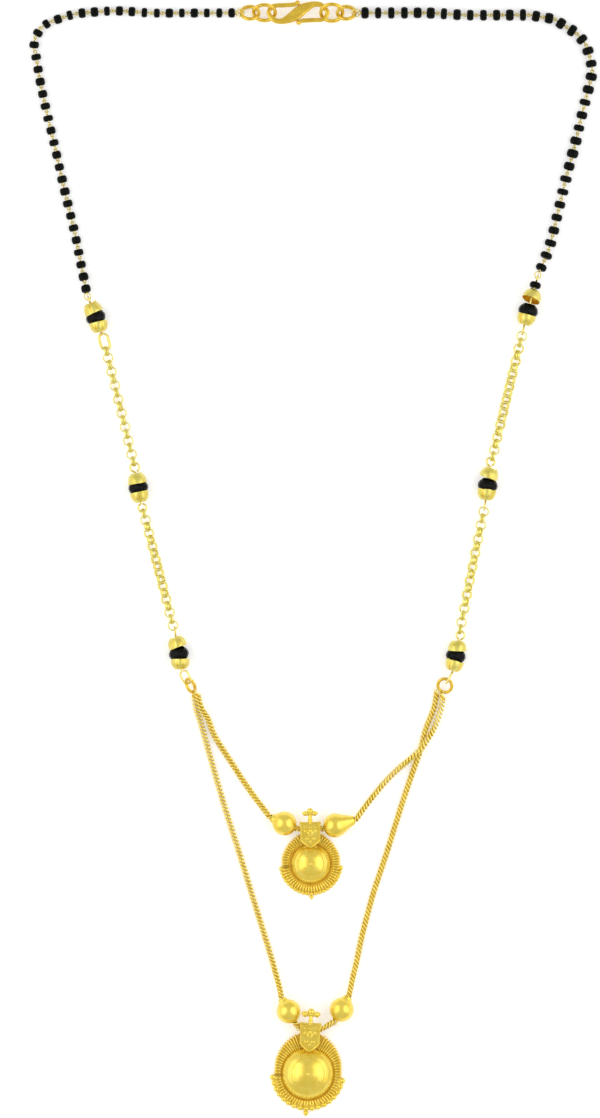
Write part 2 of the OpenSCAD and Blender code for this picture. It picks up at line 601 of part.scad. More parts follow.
// A pendant lying on its flat back, its middle at the origin and its bail towards +Y
module pendant(upper) {
    r = rim_r(upper);
    dome_r = (upper ? upper_dome_d : lower_dome_d) / 2;
    dome_h = upper ? upper_dome_h : lower_dome_h;
    cap_r = (dome_r * dome_r + dome_h * dome_h) / (2 * dome_h);
    granule_d = upper ? upper_granule_d : lower_granule_d;
    granules = upper ? upper_granules : lower_granules;
    granule_ring = r + 0.38 * granule_d;
    // The granules stand half out of a strip along the rim: x, y and diameter of each, the tip's one last
    granule_z = 0.58 * granule_d;
    grains = concat(
        [for (i = [0 : granules - 1]) let (a = 189 + 162 * i / (granules - 1))
            let (end = i % (granules - 1) == 0)
                [granule_ring * cos(a), granule_ring * sin(a), granule_d * (end ? 1.15 : 1)]],
        [[0, -granule_ring - 0.95 * granule_d, 1.1 * granule_d]]);
    shield_len = upper ? upper_shield_len : lower_shield_len;
    tube_y = bail_y(upper);
    tube_r = bail_out_r();
    // The shield leans on the bail's tube and its point comes down on the dome
    shield_top = 1.7;
    point_y = tube_y + shield_top - shield_len;
    point_z = rim_t + dome_h - cap_r + sqrt(cap_r * cap_r - point_y * point_y);
    rest_z = bail_z + tube_r - 0.1;
    lean = atan((rest_z - point_z) / (tube_y - point_y));
    difference() {
        union() {
            linear_extrude(rim_t) rim_outline(upper);
            dome(dome_r, dome_h);
            intersection() {
                linear_extrude(2 * rim_t) rim_outline(upper);
                for (i = [0 : rib_count - 1]) {
                    a = 360 * (i + 0.5) / rib_count;
                    if (abs(a - 90) > 20)
                        rotate([0, 0, a]) translate([dome_r + 0.25, 0, rim_t]) rotate([0, 90, 0])
                            cylinder(d = rib_d, h = r, $fn = 16);
                }
            }
            linear_extrude(granule_z) {
                intersection() {
                    circle(r = granule_ring - 0.1 * granule_d, $fn = 96);
                    translate([-2 * r, -2.1 * r]) square([4 * r, 2 * r]);
                }
                for (p = grains) translate([p[0], p[1]]) circle(d = 1.04 * p[2], $fn = 32);
            }
            for (p = grains) translate([p[0], p[1], granule_z]) sphere(d = p[2], $fn = 32);
            translate([-1.6, 0.85 * r, 0.2]) cube([3.2, tube_y - 0.85 * r, bail_z - 0.2]);
            translate([-bail_len / 2, tube_y, bail_z]) rotate([0, 90, 0])
                cylinder(r = tube_r, h = bail_len);
            translate([0, tube_y + shield_top * cos(lean), rest_z + shield_top * sin(lean)])
                rotate([lean, 0, 0]) {
                    linear_extrude(shield_t) shield_outline(shield_len);
                    translate([0, 0, shield_t]) shield_relief(shield_len);
                    translate([0, 0, shield_t / 2]) rotate([-lean, 0, 0]) finial(upper ? 1.2 : 1.6);
                }
        }
        translate([-bail_len, tube_y, bail_z]) rotate([0, 90, 0]) cylinder(d = ball_bore, h = 2 * bail_len);
    }
}

module placed_pendant(upper) {
    color("gold") translate(pendant_at(upper)) rotate([0, 0, pendant_turn(upper)]) pendant(upper);
}

clasp_hook();
clasp_ring_big(-1);  // clasp_ring_big_left
clasp_ring_small(-1);  // clasp_ring_small_left
clasp_ring_big(1);  // clasp_ring_big_right
clasp_ring_small(1);  // clasp_ring_small_right
bead_string_left();
bead_string_right();
for (b = CAPPED_BEADS) {
    black_bead(b);
    bead_cap(b, true);
    bead_cap(b, false);
    eye_pin(b);
}
rolo_chain(CAPPED_BEADS[0], CAPPED_BEADS[1]);  // rolo_chain_left_upper
rolo_chain(CAPPED_BEADS[1], CAPPED_BEADS[2]);  // rolo_chain_left_lower
rolo_chain(CAPPED_BEADS[3], CAPPED_BEADS[4]);  // rolo_chain_right_upper
rolo_chain(CAPPED_BEADS[4], CAPPED_BEADS[5]);  // rolo_chain_right_lower
junction_ring(CAPPED_BEADS[2], LEFT_JUNCTION);  // junction_ring_left
junction_ring(CAPPED_BEADS[5], RIGHT_JUNCTION);  // junction_ring_right
inner_chain();
outer_chain();
for (b = BALLS)
    ball(b);
placed_pendant(true);  // upper_pendant
placed_pendant(false);  // lower_pendant
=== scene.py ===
import math
from functools import partial
import bpy
import numpy as np
from mathutils import Matrix, Vector


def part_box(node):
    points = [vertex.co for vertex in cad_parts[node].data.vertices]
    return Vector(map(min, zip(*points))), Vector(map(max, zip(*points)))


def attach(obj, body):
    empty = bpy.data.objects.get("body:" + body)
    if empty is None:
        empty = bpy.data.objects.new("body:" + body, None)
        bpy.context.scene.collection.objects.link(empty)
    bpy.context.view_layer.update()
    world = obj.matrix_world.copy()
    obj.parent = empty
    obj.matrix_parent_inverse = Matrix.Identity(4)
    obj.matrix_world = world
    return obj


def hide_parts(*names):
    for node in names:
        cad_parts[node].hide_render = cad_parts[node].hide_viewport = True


# Mangalsutra lying on a pale floor: +Y towards the clasp, +X to the right, lengths in millimetres until
# a mesh is made.

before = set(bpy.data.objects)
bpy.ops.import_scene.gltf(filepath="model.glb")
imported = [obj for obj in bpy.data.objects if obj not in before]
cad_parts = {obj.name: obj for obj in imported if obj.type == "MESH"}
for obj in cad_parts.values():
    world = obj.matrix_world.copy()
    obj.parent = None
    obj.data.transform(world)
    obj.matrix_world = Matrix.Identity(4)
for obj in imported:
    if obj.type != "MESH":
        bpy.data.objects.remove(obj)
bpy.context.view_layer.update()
mm = 0.001
bothSides = ("left", "right")
print("frame loaded:", len(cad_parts), "nodes")


# Small geometry helpers. A shape is a pair of a vertex array and a list of faces.

def rotation(axis, degrees):
    return np.array(Matrix.Rotation(math.radians(degrees), 3, axis))


def heading(degrees):
    return np.array([math.cos(math.radians(degrees)), math.sin(math.radians(degrees)), 0.0])


def upLine(turn):
    return heading(90 + turn)


def unit(v):
    return np.asarray(v, float) / np.linalg.norm(v)


def moved(shape, turn=None, place=(0, 0, 0)):
    verts, faces = shape
    verts = verts if turn is None else verts @ np.asarray(turn).T
    return verts + np.asarray(place, float), faces


def joined(shapes):
    verts, faces, start = [], [], 0
    for shapeVerts, shapeFaces in shapes:
        verts.append(shapeVerts)
        faces += [[i + start for i in face] for face in shapeFaces]
        start += len(shapeVerts)
    return np.vstack(verts), faces


def outward(shape):
    verts, faces = shape
    volume = 0.0
    for face in faces:
        a = verts[face[0]]
        for b, c in zip(face[1:-1], face[2:]):
            volume += np.dot(a, np.cross(verts[b], verts[c]))
    return (verts, [face[::-1] for face in faces]) if volume < 0 else shape


def ringFaces(rows, columns, closed):
    faces = []
    for i in range(rows if closed else rows - 1):
        for j in range(columns):
            i2, j2 = (i + 1) % rows, (j + 1) % columns
            faces.append([i * columns + j, i * columns + j2, i2 * columns + j2, i2 * columns + j])
    return faces


def tube(rings, closed=False):
    # a skin over rings of points, with a face on each end unless the rings close up
    rings = np.asarray(rings, float)
    rows, n = rings.shape[:2]
    faces = ringFaces(rows, n, closed)
    if not closed:
        faces += [list(range(n))[::-1], list(range((rows - 1) * n, rows * n))]
    return outward((rings.reshape(-1, 3), faces))


def fanned(rings, bottom, top):
    # a skin over rings of points, each end closed by a fan about a middle point
    rings = np.asarray(rings, float)
    rows, n = rings.shape[:2]
    faces = ringFaces(rows, n, False)
    for k in range(n):
        k2 = (k + 1) % n
        faces += [[rows * n, k2, k], [rows * n + 1, (rows - 1) * n + k, (rows - 1) * n + k2]]
    return outward((np.vstack([rings.reshape(-1, 3), [bottom, top]]), faces))


def lathe(profile, sides, ripple=None):
    # profile runs from the lower end to the upper one, or round a closed section if it ends where it began
    closed = np.allclose(profile[0], profile[-1])
    rings = []
    for r, z in profile[:-1] if closed else profile:
        ring = []
        for a in np.linspace(0, 2 * math.pi, sides, endpoint=False):
            dr, dz = ripple(a, r, z) if ripple else (0, 0)
            ring.append([(r + dr) * math.cos(a), (r + dr) * math.sin(a), z + dz])
        rings.append(ring)
    return tube(rings, closed)


def sweep(path, section, closed=False, scales=None):
    # section: points (across, up) round the wire; scales: one pair for each point of the path
    path = np.asarray(path, float)
    ahead = np.roll(path, -1, 0) - np.roll(path, 1, 0) if closed else np.gradient(path, axis=0)
    ahead /= np.linalg.norm(ahead, axis=1)[:, None]
    # a direction across the path that stays square to it without twisting
    side = np.cross(ahead[0], [0, 0, 1.0])
    if np.linalg.norm(side) < 0.2:
        side = np.cross(ahead[0], [0, 1.0, 0])
    rings = []
    for i, direction in enumerate(ahead):
        side = unit(side - direction * np.dot(side, direction))
        up = np.cross(side, direction)
        across, high = (1, 1) if scales is None else scales[i]
        rings.append([path[i] + side * u * across + up * v * high for u, v in section])
    return tube(rings, closed)


def superEllipse(halfWidth, halfHeight, power, count):
    points = []
    for a in np.linspace(0, 2 * math.pi, count, endpoint=False):
        c, s = math.cos(a), math.sin(a)
        points.append((halfWidth * math.copysign(abs(c) ** (2 / power), c),
                       halfHeight * math.copysign(abs(s) ** (2 / power), s)))
    return points


def roundSection(radius, sides):
    return superEllipse(radius, radius, 2, sides)


def ball(radius, sides=16, rows=9):
    angles = np.linspace(0.12, math.pi - 0.12, rows)
    return lathe([(radius * math.sin(a), -radius * math.cos(a)) for a in angles], sides)


def wireRing(outer, wire, seam, sides=14):
    # a wire ring that closes with a hairline seam
    r = (outer - wire) / 2
    angles = np.radians(np.linspace(seam + 1.2, seam + 358.8, 64))
    return sweep(np.c_[r * np.cos(angles), r * np.sin(angles), np.zeros(64)], roundSection(wire / 2, sides))


def smoothPath(points, steps):
    # the smooth curve through the points that the tubes of the frame follow
    points = np.asarray(points, float)
    out = []
    for i in range(len(points) - 1):
        a, b = points[max(i - 1, 0)], points[i]
        c, d = points[i + 1], points[min(i + 2, len(points) - 1)]
        for t in np.arange(steps) / steps:
            out.append(0.5 * (2 * b + (c - a) * t + (2 * a - 5 * b + 4 * c - d) * t * t
                              + (3 * b - a - 3 * c + d) * t ** 3))
    return np.array(out + [points[-1]])


def distances(path):
    return np.concatenate([[0], np.cumsum(np.linalg.norm(np.diff(path, axis=0), axis=1))])


def trimmed(path, length):
    # the part of a path that is left when a length is taken off each end
    at = distances(path)
    marks = [length] + [s for s in at if length < s < at[-1] - length] + [at[-1] - length]
    return np.array([[np.interp(s, at, path[:, k]) for k in range(3)] for s in marks])


def addObject(name, data):
    obj = bpy.data.objects.new(name, data)
    bpy.context.scene.collection.objects.link(obj)
    return obj


def makeObject(name, shape, material, sharpAngle=35):
    verts, faces = shape
    mesh = bpy.data.meshes.new(name)
    mesh.from_pydata((verts * mm).tolist(), [], faces)
    mesh.materials.append(material)
    mesh.shade_smooth()
    mesh.set_sharp_from_angle(angle=math.radians(sharpAngle))
    mesh.update()
    return addObject(name, mesh)


def piece(obj, slot, *nodes):
    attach(obj, "root")
    if nodes:
        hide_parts(*nodes)
    return obj


def nodeCentre(node):
    return np.mean(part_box(node), axis=0) / mm


# Materials

def addNode(tree, kind, values=(), **settings):
    node = tree.nodes.new(kind)
    for key, value in settings.items():
        setattr(node, key, value)
    for key, value in dict(values).items():
        if isinstance(value, bpy.types.NodeSocket):
            tree.links.new(value, node.inputs[key])
        else:
            node.inputs[key].default_value = value
    return node


def newShader(name):
    material = bpy.data.materials.new(name)
    material.use_nodes = True
    return material, material.node_tree, material.node_tree.nodes["Principled BSDF"]


goldLook = {
    # deepest and lightest colour of each gold
    "clasp": ((0.68, 0.42, 0.012), (0.84, 0.58, 0.04)),
    "wire": ((0.8, 0.62, 0.13), (0.9, 0.76, 0.26)),
    "chain": ((0.73, 0.6, 0.09), (0.86, 0.76, 0.2)),
    "fine": ((0.84, 0.68, 0.09), (0.94, 0.83, 0.2)),
    "cap": ((0.64, 0.52, 0.05), (0.8, 0.7, 0.16)),
    "yellow": ((0.84, 0.6, 0.04), (0.93, 0.72, 0.1)),
    # painted shade: a darker gold for the recesses, where shade falls
    "recess": ((0.72, 0.4, 0.008), (0.84, 0.53, 0.02)),
    # painted shade on the links deep in the fine chains
    "under": ((0.64, 0.33, 0.004), (0.8, 0.47, 0.01)),
    # size in mm and detail of the patches, and where the deep colour ends and the light one starts
    "patches": (1.6, 3.0, 0.3, 0.7),
    # size in mm and detail of the scratches, their depth in mm, and the least and most of the roughness
    "grain": (0.12, 4.0, 0.012, 0.75, 1.3),
    # size in mm, detail and depth in mm of the shallow dents of hand work
    "dents": (0.9, 2.0, 0.12),
    "shader": {"Metallic": 0.8, "Coat Weight": 0.4, "Coat Roughness": 0.22, "Coat IOR": 1.8},
}
glassLook = {
    "black": ((0.001, 0.0013, 0.001), (0.003, 0.0045, 0.0025)),
    "patches": (1.8, 2.0, 0.0, 1.0), "grain": (0.25, 3.0, 0.01, 0.7, 1.4), "shader": {"IOR": 1.45},
}


def makeMaterial(name, look, kind, roughness, scratch, hammer=0.0, gloss=0.5):
    # colours in soft patches, roughness that varies with fine scratches, and scratches over shallow dents
    material, tree, shader = newShader(name)
    add = partial(addNode, tree)
    place = add("ShaderNodeTexCoord").outputs["Object"]

    def noise(size, detail):
        values = {"Vector": place, "Scale": 1 / (size * mm), "Detail": detail}
        return add("ShaderNodeTexNoise", values).outputs["Fac"]

    def bump(height, strength, depth, under=None):
        values = {"Height": height, "Strength": strength, "Distance": depth * mm}
        return add("ShaderNodeBump", {**values, "Normal": under} if under else values).outputs["Normal"]

    size, detail, *ends = look["patches"]
    ramp = add("ShaderNodeValToRGB", {"Fac": noise(size, detail)})
    for element, position, color in zip(ramp.color_ramp.elements, ends, look[kind]):
        element.position = position
        element.color = (*color, 1)
    size, detail, depth, least, most = look["grain"]
    scratches = noise(size, detail)
    limits = {"To Min": roughness * least, "To Max": roughness * most}
    rough = add("ShaderNodeMapRange", {"Value": scratches, **limits})
    dents = None
    if hammer:
        size, detail, dentDepth = look["dents"]
        dents = bump(noise(size, detail), hammer, dentDepth)
    for key, socket in (("Base Color", ramp.outputs["Color"]), ("Roughness", rough.outputs["Result"]),
                        ("Normal", bump(scratches, scratch, depth, dents))):
        tree.links.new(socket, shader.inputs[key])
    for key, value in {**look["shader"], "Specular IOR Level": gloss}.items():
        shader.inputs[key].default_value = value
    return material


# name, look and kind, roughness, strength of the scratches and of the dents
claspGold = makeMaterial("clasp gold", goldLook, "clasp", 0.27, 0.3, 0.25)
wireGold = makeMaterial("wire gold", goldLook, "wire", 0.22, 0.2, 0.1)
chainGold = makeMaterial("rolo chain gold", goldLook, "chain", 0.2, 0.2, 0.12)
fineChainGold = makeMaterial("fine chain gold", goldLook, "fine", 0.22, 0.2, 0.1)
capGold = makeMaterial("pale cap gold", goldLook, "cap", 0.36, 0.35, 0.3)
ballGold = makeMaterial("satin ball gold", goldLook, "yellow", 0.28, 0.4, 0.22)
pendantGold = makeMaterial("pendant gold", goldLook, "yellow", 0.26, 0.35, 0.16)
# painted shade: a darker gold put in recesses, inside the caps, in their creases and on the rim between the
# ribs
paintedShadeGold = makeMaterial("gold in the recesses", goldLook, "recess", 0.4, 0.3, 0.2)
# painted shade for the deeper links of the fine chains
paintedChainShadeGold = makeMaterial("gold deep in the fine chains", goldLook, "under", 0.4, 0.3, 0.2)
cutGlass = makeMaterial("cut black glass", glassLook, "black", 0.18, 0.15, gloss=0.12)
seedGlass = makeMaterial("black seed glass", glassLook, "black", 0.26, 0.15, gloss=0.08)
print("materials made")


# Geometry Nodes trees: each sets copies of a piece on a row of points

def calculate(tree, operation, a, b=0.0):
    return addNode(tree, "ShaderNodeMath", {0: a, 1: b}, operation=operation).outputs[0]


def vector(tree, operation, a, b=(0.0, 0.0, 0.0), output="Vector"):
    return addNode(tree, "ShaderNodeVectorMath", {0: a, 1: b}, operation=operation).outputs[output]


def newTree(name, *numbers, **others):
    # numbers: the names of plain numbers that the tree is given; others: names and kinds of the rest
    tree = bpy.data.node_groups.new(name, "GeometryNodeTree")
    common = {"Geometry": "Geometry", "Piece": "Object", "Count": "Int", "Material": "Material"}
    for label, kind in {**common, **dict.fromkeys(numbers, "Float"), **others}.items():
        tree.interface.new_socket(label, in_out="INPUT", socket_type="NodeSocket" + kind)
    tree.interface.new_socket("Geometry", in_out="OUTPUT", socket_type="NodeSocketGeometry")
    given = tree.nodes.new("NodeGroupInput").outputs
    return tree, given, partial(addNode, tree), partial(calculate, tree)


def evenPoints(add, given):
    curve = add("GeometryNodeMeshToCurve", {"Mesh": given["Geometry"]}).outputs["Curve"]
    return add("GeometryNodeCurveToPoints", {"Curve": curve, "Count": given["Count"]}, mode="COUNT").outputs


def alignedTurn(add, direction):
    return add("FunctionNodeAxesToRotation", {0: direction, 1: (0.0, 0.0, 1.0)},
               primary_axis="X", secondary_axis="Z").outputs[0]


def finishTree(tree, given, points, turn, scale):
    add = partial(addNode, tree)
    source = add("GeometryNodeObjectInfo", {"Object": given["Piece"]}).outputs["Geometry"]
    copies = add("GeometryNodeInstanceOnPoints", {
        "Points": points, "Instance": source, "Rotation": turn, "Scale": scale}).outputs["Instances"]
    if "Place" in given:
        spin = add("ShaderNodeCombineXYZ", {"Z": given["Turn"]}).outputs[0]
        placed = {"Geometry": copies, "Translation": given["Place"], "Rotation": spin}
        copies = add("GeometryNodeTransform", placed).outputs[0]
    real = add("GeometryNodeRealizeInstances", {"Geometry": copies}).outputs[0]
    painted = add("GeometryNodeSetMaterial", {"Geometry": real, "Material": given["Material"]}).outputs[0]
    add("NodeGroupOutput", {"Geometry": painted})
    return tree


def makeStrungTree():
    # copies of a piece at even steps along a path, each rolled about the path's direction
    tree, given, add, calc = newTree("strung along a path", "First roll", "Roll step", "Middle twist",
                                     "Roll jitter", "Size jitter", "Length jitter", Seed="Int")

    def jitter(label, shift):
        seed = calc("ADD", given["Seed"], shift)
        random = add("FunctionNodeRandomValue", {2: -1.0, 3: 1.0, "Seed": seed}, data_type="FLOAT").outputs[1]
        return calc("MULTIPLY", random, given[label])

    points = evenPoints(add, given)
    index = add("GeometryNodeInputIndex").outputs[0]
    along = calc("DIVIDE", index, calc("SUBTRACT", given["Count"], 1.0))
    # the twist is greatest half way along
    swell = calc("SINE", calc("MULTIPLY", along, math.pi))
    twist = calc("MULTIPLY", swell, given["Middle twist"])
    stepped = calc("ADD", given["First roll"], calc("MULTIPLY", index, given["Roll step"]))
    roll = calc("ADD", stepped, calc("ADD", twist, jitter("Roll jitter", 0.0)))
    rolled = add("FunctionNodeAxisAngleToRotation", {"Axis": (1.0, 0.0, 0.0), "Angle": roll}).outputs[0]
    turn = add("FunctionNodeRotateRotation", {0: alignedTurn(add, points["Tangent"]), 1: rolled},
               rotation_space="LOCAL").outputs[0]
    size = calc("ADD", jitter("Size jitter", 7.0), 1.0)
    length = calc("ADD", jitter("Length jitter", 13.0), 1.0)
    scale = add("ShaderNodeCombineXYZ", {"X": length, "Y": size, "Z": size}).outputs[0]
    return finishTree(tree, given, points["Points"], turn, scale)


def makeRoundTree():
    # copies of a piece along an arc, all level and turned outwards, the two end ones larger
    tree, given, add, calc = newTree("spread along an arc", "Radius", "Height", "From angle", "Sweep",
                                     "End size", "Turn", Place="Vector")
    points = add("GeometryNodePoints", {"Count": given["Count"]}).outputs[0]
    share = calc("DIVIDE", add("GeometryNodeInputIndex").outputs[0], calc("SUBTRACT", given["Count"], 1.0))
    angle = calc("ADD", calc("MULTIPLY", share, given["Sweep"]), given["From angle"])
    where = add("ShaderNodeCombineXYZ", {
        "X": calc("MULTIPLY", given["Radius"], calc("COSINE", angle)),
        "Y": calc("MULTIPLY", given["Radius"], calc("SINE", angle)), "Z": given["Height"]}).outputs[0]
    put = add("GeometryNodeSetPosition", {"Geometry": points, "Position": where}).outputs[0]
    turn = add("FunctionNodeAxisAngleToRotation", {"Axis": (0.0, 0.0, 1.0), "Angle": angle}).outputs[0]
    # 1 at the two ends and 0 between them
    fromMiddle = calc("ABSOLUTE", calc("SUBTRACT", share, 0.5))
    atEnd = calc("GREATER_THAN", fromMiddle, 0.499)
    size = calc("ADD", calc("MULTIPLY", atEnd, calc("SUBTRACT", given["End size"], 1.0)), 1.0)
    return finishTree(tree, given, put, turn, size)


def makeRibTree():
    # bars from a circle out to an outline, one for each step along the outline, none behind the neck
    tree, given, add, calc = newTree("ribs out to an outline", "Inner radius", "Height", "Neck share",
                                     "Turn", Place="Vector")
    position = add("GeometryNodeInputPosition").outputs[0]
    outwards = vector(tree, "NORMALIZE", position)
    up = add("ShaderNodeSeparateXYZ", {0: outwards}).outputs["Y"]
    hidden = calc("GREATER_THAN", up, given["Neck share"])
    kept = add("GeometryNodeDeleteGeometry", {"Geometry": evenPoints(add, given)["Points"],
                                              "Selection": hidden}).outputs[0]
    # the bar is a millimetre long, and its stretch and turn are caught before the points move
    stretch = calc("SUBTRACT", vector(tree, "LENGTH", position, output="Value"), given["Inner radius"])
    for label, kind, value in (("stretch", "FLOAT", calc("DIVIDE", stretch, mm)),
                               ("facing", "QUATERNION", alignedTurn(add, outwards))):
        kept = add("GeometryNodeStoreNamedAttribute", {"Geometry": kept, "Name": label, "Value": value},
                   data_type=kind, domain="POINT").outputs[0]
    start = addNode(tree, "ShaderNodeVectorMath", {0: outwards, "Scale": given["Inner radius"]},
                    operation="SCALE").outputs[0]
    lifted = vector(tree, "ADD", start, add("ShaderNodeCombineXYZ", {"Z": given["Height"]}).outputs[0])
    put = add("GeometryNodeSetPosition", {"Geometry": kept, "Position": lifted}).outputs[0]
    longer = add("GeometryNodeInputNamedAttribute", {"Name": "stretch"}, data_type="FLOAT").outputs[0]
    facing = add("GeometryNodeInputNamedAttribute", {"Name": "facing"}, data_type="QUATERNION").outputs[0]
    scale = add("ShaderNodeCombineXYZ", {"X": longer, "Y": 1.0, "Z": 1.0}).outputs[0]
    return finishTree(tree, given, put, facing, scale)


strungTree = makeStrungTree()
roundTree = makeRoundTree()
ribTree = makeRibTree()


def runTree(name, tree, path, copied, values):
    # runs a tree on a line of points and keeps its result as a plain mesh at the origin
    line = bpy.data.meshes.new(name + " path")
    line.from_pydata((np.asarray(path) * mm).tolist(), [(i, i + 1) for i in range(len(path) - 1)], [])
    carrier = addObject(name + " carrier", line)
    modifier = carrier.modifiers.new(name, "NODES")
    modifier.node_group = tree
    values = {**values, "Piece": copied, "Material": copied.data.materials[0]}
    for item in tree.interface.items_tree:
        if item.item_type == "SOCKET" and item.in_out == "INPUT" and item.name in values:
            modifier[item.identifier] = values[item.name]
    ready = carrier.evaluated_get(bpy.context.evaluated_depsgraph_get())
    mesh = bpy.data.meshes.new_from_object(ready)
    mesh.name = name
    obj = addObject(name, mesh)
    carrier.modifiers.remove(modifier)
    bpy.data.objects.remove(carrier)
    bpy.data.objects.remove(copied)
    return obj


def strung(name, path, copied, count, seed, roll=0.0, step=0.0, twist=0.0, jitter=(0.0, 0.0, 0.0)):
    # roll and step in radians, twist in degrees; jitter: of the roll in degrees, of the size and the length
    return runTree(name, strungTree, path, copied, {
        "Count": count, "Seed": seed, "First roll": roll, "Roll step": step,
        "Middle twist": math.radians(twist), "Roll jitter": math.radians(jitter[0]),
        "Size jitter": jitter[1], "Length jitter": jitter[2]})


# Clasp: an S-hook of flattened wire with a ball at each tip, and two rings on each side

clasp = {
    "halfLength": 6.875, "halfWidth": 2.9, "wire": 0.85, "arm": 1.05, "band": 2.75,
    "knob": 1.2, "knobShift": 0.15, "knobSwell": 1.04,
    # middle line from the centre to a tip: shares of the half length, the half width and the band's width
    "line": [(0, 0, 1), (0.19, 0.33, 0.87), (0.52, 0.67, 0.25), (0.8, 0.6, 0.1), (1, 0.03, 0),
             (0.86, -0.52, 0), (0.48, -0.6, 0), (0.19, -0.64, 0), (0.07, -0.7, 0)],
    # outer diameter and wire of the rings, how far they tip and where their seams are
    "big": (6.0, 0.9), "small": (5.0, 0.9),
    "tilts": {"big": {"left": 48, "right": 43}, "small": {"left": -42, "right": -42}},
    "seam": {"left": 118, "right": 205},
}


def makeHook():
    arm, extra = clasp["arm"], clasp["band"] - clasp["arm"]
    half = [(x * clasp["halfLength"], y * clasp["halfWidth"], arm + w * extra) for x, y, w in clasp["line"]]
    other = [(-x, -y, w) for x, y, w in half[:0:-1]]
    line = smoothPath(other + half, 10)
    wire = clasp["wire"] / 2
    scales = [(max(w / 2, wire), wire) for w in line[:, 2]]
    shapes = [sweep(line * [1, 1, 0], superEllipse(1.0, 1.0, 2.6, 16), scales=scales)]
    knob = clasp["knob"] / 2
    for side in (-1, 1):
        place = (-side * clasp["knobShift"], side * (clasp["halfWidth"] - knob), 0)
        shapes.append(moved(ball(knob * clasp["knobSwell"], 28, 15), place=place))
    shape = moved(joined(shapes), place=nodeCentre("clasp_hook"))
    piece(makeObject("hook", shape, claspGold, 50), "clasp_gold", "clasp_hook")


def makeClaspRings():
    for side in bothSides:
        for size in ("big", "small"):
            node = f"clasp_ring_{size}_{side}"
            turn = rotation("X", clasp["tilts"][size][side])
            shape = moved(wireRing(*clasp[size], clasp["seam"][side]), turn, nodeCentre(node))
            piece(makeObject(f"claspRing.{size}.{side}", shape, claspGold), "clasp_gold", node)


makeHook()
makeClaspRings()
print("clasp made")


# Capped beads: a cut black bead between two fluted caps, on a pin with an eye at each end

beadSizes = {
    "radius": 2.35, "halfLength": 1.7, "hole": 0.5, "facets": 12, "worn": 0.05,
    # rows of facets from the hole to the middle: shares of the radius and half length, turn in facets
    "facetRows": [(0.52, 1.0, 0), (0.86, 0.6, 0.5), (1.0, 0.18, 0)],
    "pin": 0.5, "gap": 0.1, "leanSlide": 0.035, "leanRoom": 1.3, "seedRoom": 2.0,
    "capRadius": 2.15, "capMouth": 0.9, "capEnd": 3.35, "capTip": 20, "capSides": 96,
    "upperSeed": 11, "lowerSeed": 31,
    # the last row of faces outside the cap, past which the inside is painted with shade, the rows that have
    # creases, how wide a crease is, and the depth of groove from which a cap has them; creases get painted
    # shade
    "outsideRows": 12, "creaseRows": range(2, 9), "crease": 0.24, "leastGroove": 0.1,
}
# place, turn from +Y, lean of the upper and lower cap, slide of the upper cap, upper and lower eye as
# (hole, extra length, roll, swing), and room for a seed bead on the pin
cappedBeads = {
    "left_1": {"at": (-51, 56.5), "turn": 21, "lean": (4, -7), "slide": 0,
               "eyes": ((0.7, 0, 90, 0), (1.6, 1.7, 0, -6)), "seed": False},
    "left_2": {"at": (-41, 16.5), "turn": 10, "lean": (1, 2), "slide": 0.05,
               "eyes": ((1.6, 0, 0, 0), (1.4, 0, 0, 5)), "seed": False},
    "left_3": {"at": (-31.5, -22.5), "turn": 10, "lean": (10, -8), "slide": 0.3,
               "eyes": ((1.4, 0, 90, 4), (1.4, 1.3, -15, 19)), "seed": False},
    "right_1": {"at": (50.5, 58), "turn": -15.5, "lean": (-8, 0), "slide": 1.3,
                "eyes": ((0.7, 0, 90, 0), (1.4, 0, 90, 4)), "seed": True},
    "right_2": {"at": (41, 17), "turn": -8, "lean": (-13, 1), "slide": 0.4,
                "eyes": ((1.4, 0, 0, -5), (1.4, 0, 90, 0)), "seed": False},
    "right_3": {"at": (33.5, -23), "turn": -11, "lean": (8, -6), "slide": 0,
                "eyes": ((1.4, 0, 0, 8), (1.4, 0.91, 90, -18)), "seed": False},
}


def necks(bead):
    # distances from the bead's middle to where the upper and the lower eye start
    s = beadSizes
    upper, lower = [s["capEnd"] + s["leanRoom"] * s["leanSlide"] * abs(lean) for lean in bead["lean"]]
    upper += bead["slide"] + s["gap"] + (s["seedRoom"] if bead["seed"] else 0)
    return upper, lower + 2 * s["gap"]


def eyeHalf(eye):
    return (eye[0] + eye[1]) / 2 + beadSizes["pin"]


def eyeCentre(bead, which):
    # middle of the upper eye (0) or the lower one (1)
    sign, eye = (1, -1)[which], bead["eyes"][which]
    neck = necks(bead)[which] * upLine(bead["turn"])
    middle = np.array([*bead["at"], beadSizes["radius"]])
    return middle + sign * (neck + eyeHalf(eye) * upLine(bead["turn"] + eye[3]))


def onBead(shape, bead):
    return moved(shape, rotation("Z", bead["turn"]) @ rotation("X", -90), (*bead["at"], beadSizes["radius"]))


def cutBead():
    # rows of facets, each row turned half a facet against the next, so that the facets are triangles
    s = beadSizes
    n = s["facets"]
    half = [(s["hole"], 1.0, 0)] + [(share * s["radius"], z, shift) for share, z, shift in s["facetRows"]]
    rows = half + [(r, -z, shift) for r, z, shift in half[::-1]]
    verts, faces = [], []
    for i, (r, z, shift) in enumerate(rows):
        j = (i + 1) % len(rows)
        lag = rows[j][2] - shift
        for k in range(n):
            angle = 2 * math.pi * (k + shift) / n
            verts.append([r * math.cos(angle), r * math.sin(angle), z * s["halfLength"]])
            k2 = (k + 1) % n
            a, b, c, d = i * n + k, i * n + k2, j * n + k2, j * n + k
            if lag == 0:
                faces.append([a, b, c, d])
            else:
                faces += [[a, b, d], [b, c, d]] if lag > 0 else [[a, c, d], [a, b, c]]
    return outward((np.array(verts), faces))


